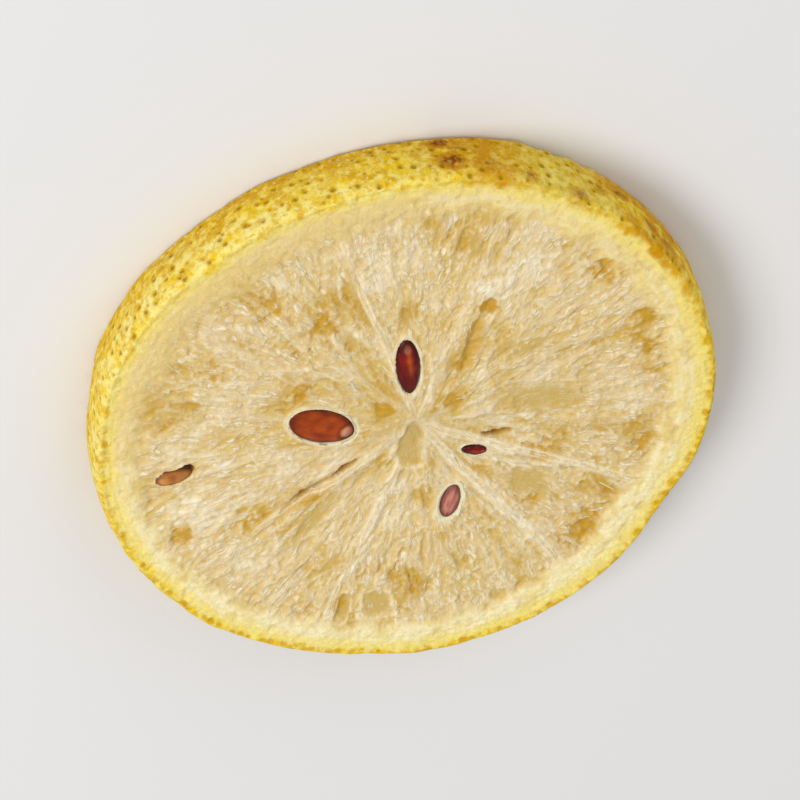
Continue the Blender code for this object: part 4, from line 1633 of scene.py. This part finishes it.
class LEMON_OT_stage(bpy.types.Operator):
    """Set up the floor, the soft lights and the camera"""

    bl_idname = "lemon.stage"
    bl_label = "Studio"

    def execute(self, context):
        stage = context.scene.slice_stage
        make_floor(stage)
        make_lights(context.scene)
        make_camera(context.scene, stage)
        return {"FINISHED"}


def make_floor(stage):
    """A wide pale floor under the slice."""
    material, tree, shader, point = new_material("pale_floor")
    cloud = noise_texture(tree, point, 6.0, 2.0)
    darker = tuple(c * 0.97 for c in stage.floor[:3]) + (1.0,)
    inputs = {
        "Base Color": blend_colour(tree, cloud, stage.floor, darker),
        "Roughness": 0.6,
        "Specular IOR Level": 0.25,
    }
    fill(tree, shader, inputs)
    bm = bmesh.new()
    bmesh.ops.create_grid(bm, x_segments=8, y_segments=8, size=2.0)
    floor = link("floor", part_mesh("floor", bm))
    floor.data.materials.append(material)


def add_area_light(name, place_m, size, watts, colour):
    """A round soft box that faces the slice."""
    light = bpy.data.lights.new(name, "AREA")
    light.shape = "DISK"
    light.size = size
    light.energy = watts
    light.color = colour
    thing = link(name, light)
    thing.location = place_m
    thing.rotation_mode = "QUATERNION"
    thing.rotation_quaternion = (-Vector(place_m)).to_track_quat("-Z", "Y")


def make_lights(scene):
    """A large soft box on the bright side, a weak one opposite and an even pale surround."""
    add_area_light("key_light", (0.42, -0.22, 0.52), 0.40, 2.85, (1.0, 0.985, 0.96))
    add_area_light("fill_light", (-0.42, -0.50, 0.30), 0.6, 0.95, (1.0, 0.99, 0.97))
    world = bpy.data.worlds.new("pale_surround")
    world.use_nodes = True
    background = world.node_tree.nodes["Background"]
    background.inputs["Color"].default_value = (0.97, 0.975, 1.0, 1.0)
    background.inputs["Strength"].default_value = 0.545
    scene.world = world
    scene.view_settings.view_transform = "Standard"


def make_camera(scene, stage):
    """A long lens that looks down on the slice, turned so that the near rind is at the top."""
    camera = bpy.data.cameras.new("camera")
    camera.lens = stage.lens
    camera.clip_start, camera.clip_end = 0.01, 10.0
    thing = link("camera", camera)
    back = Vector((0.0, -math.cos(stage.elevation), math.sin(stage.elevation)))
    thing.rotation_mode = "QUATERNION"
    facing = (-back).to_track_quat("-Z", "Y") @ Quaternion((0.0, 0.0, 1.0), stage.roll)
    thing.rotation_quaternion = facing
    aim = Vector((0.0, 0.0, TOP / 2)) + facing @ Vector((-0.3, 0.6, 0.0)) * MM
    thing.location = aim + back * stage.distance
    scene.camera = thing


class LEMON_PT_panel(bpy.types.Panel):
    """Lists the slice's pieces and its studio"""

    bl_idname = "LEMON_PT_panel"
    bl_label = "Lemon slice"
    bl_space_type = "VIEW_3D"
    bl_region_type = "UI"
    bl_category = "Lemon slice"

    def draw(self, context):
        for operator in OPERATORS:
            self.layout.operator(operator.bl_idname)
        for group in (context.scene.slice_sizes, context.scene.slice_colours, context.scene.slice_stage):
            box = self.layout.box()
            for name in group.bl_rna.properties.keys():
                if name not in {"rna_type", "name"}:
                    box.prop(group, name)


OPERATORS = (
    LEMON_OT_rind,
    LEMON_OT_pith,
    LEMON_OT_pulp,
    LEMON_OT_membranes,
    LEMON_OT_fibres,
    LEMON_OT_seeds,
    LEMON_OT_stage,
)
SETTINGS = {"slice_sizes": SliceSizes, "slice_colours": SliceColours, "slice_stage": StageSettings}


def register():
    for cls in (*SETTINGS.values(), *OPERATORS, LEMON_PT_panel):
        bpy.utils.register_class(cls)
    for name, cls in SETTINGS.items():
        setattr(bpy.types.Scene, name, bpy.props.PointerProperty(type=cls))


def unregister():
    for name in SETTINGS:
        delattr(bpy.types.Scene, name)
    for cls in (LEMON_PT_panel, *reversed(OPERATORS), *reversed(SETTINGS.values())):
        bpy.utils.unregister_class(cls)


def main():
    """Register the add-on, then make every piece and the studio."""
    register()
    bpy.ops.lemon.rind()
    bpy.ops.lemon.pith()
    bpy.ops.lemon.pulp()
    bpy.ops.lemon.membranes()
    bpy.ops.lemon.fibres()
    bpy.ops.lemon.seeds()
    bpy.ops.lemon.stage()


if __name__ == "__main__":
    main()
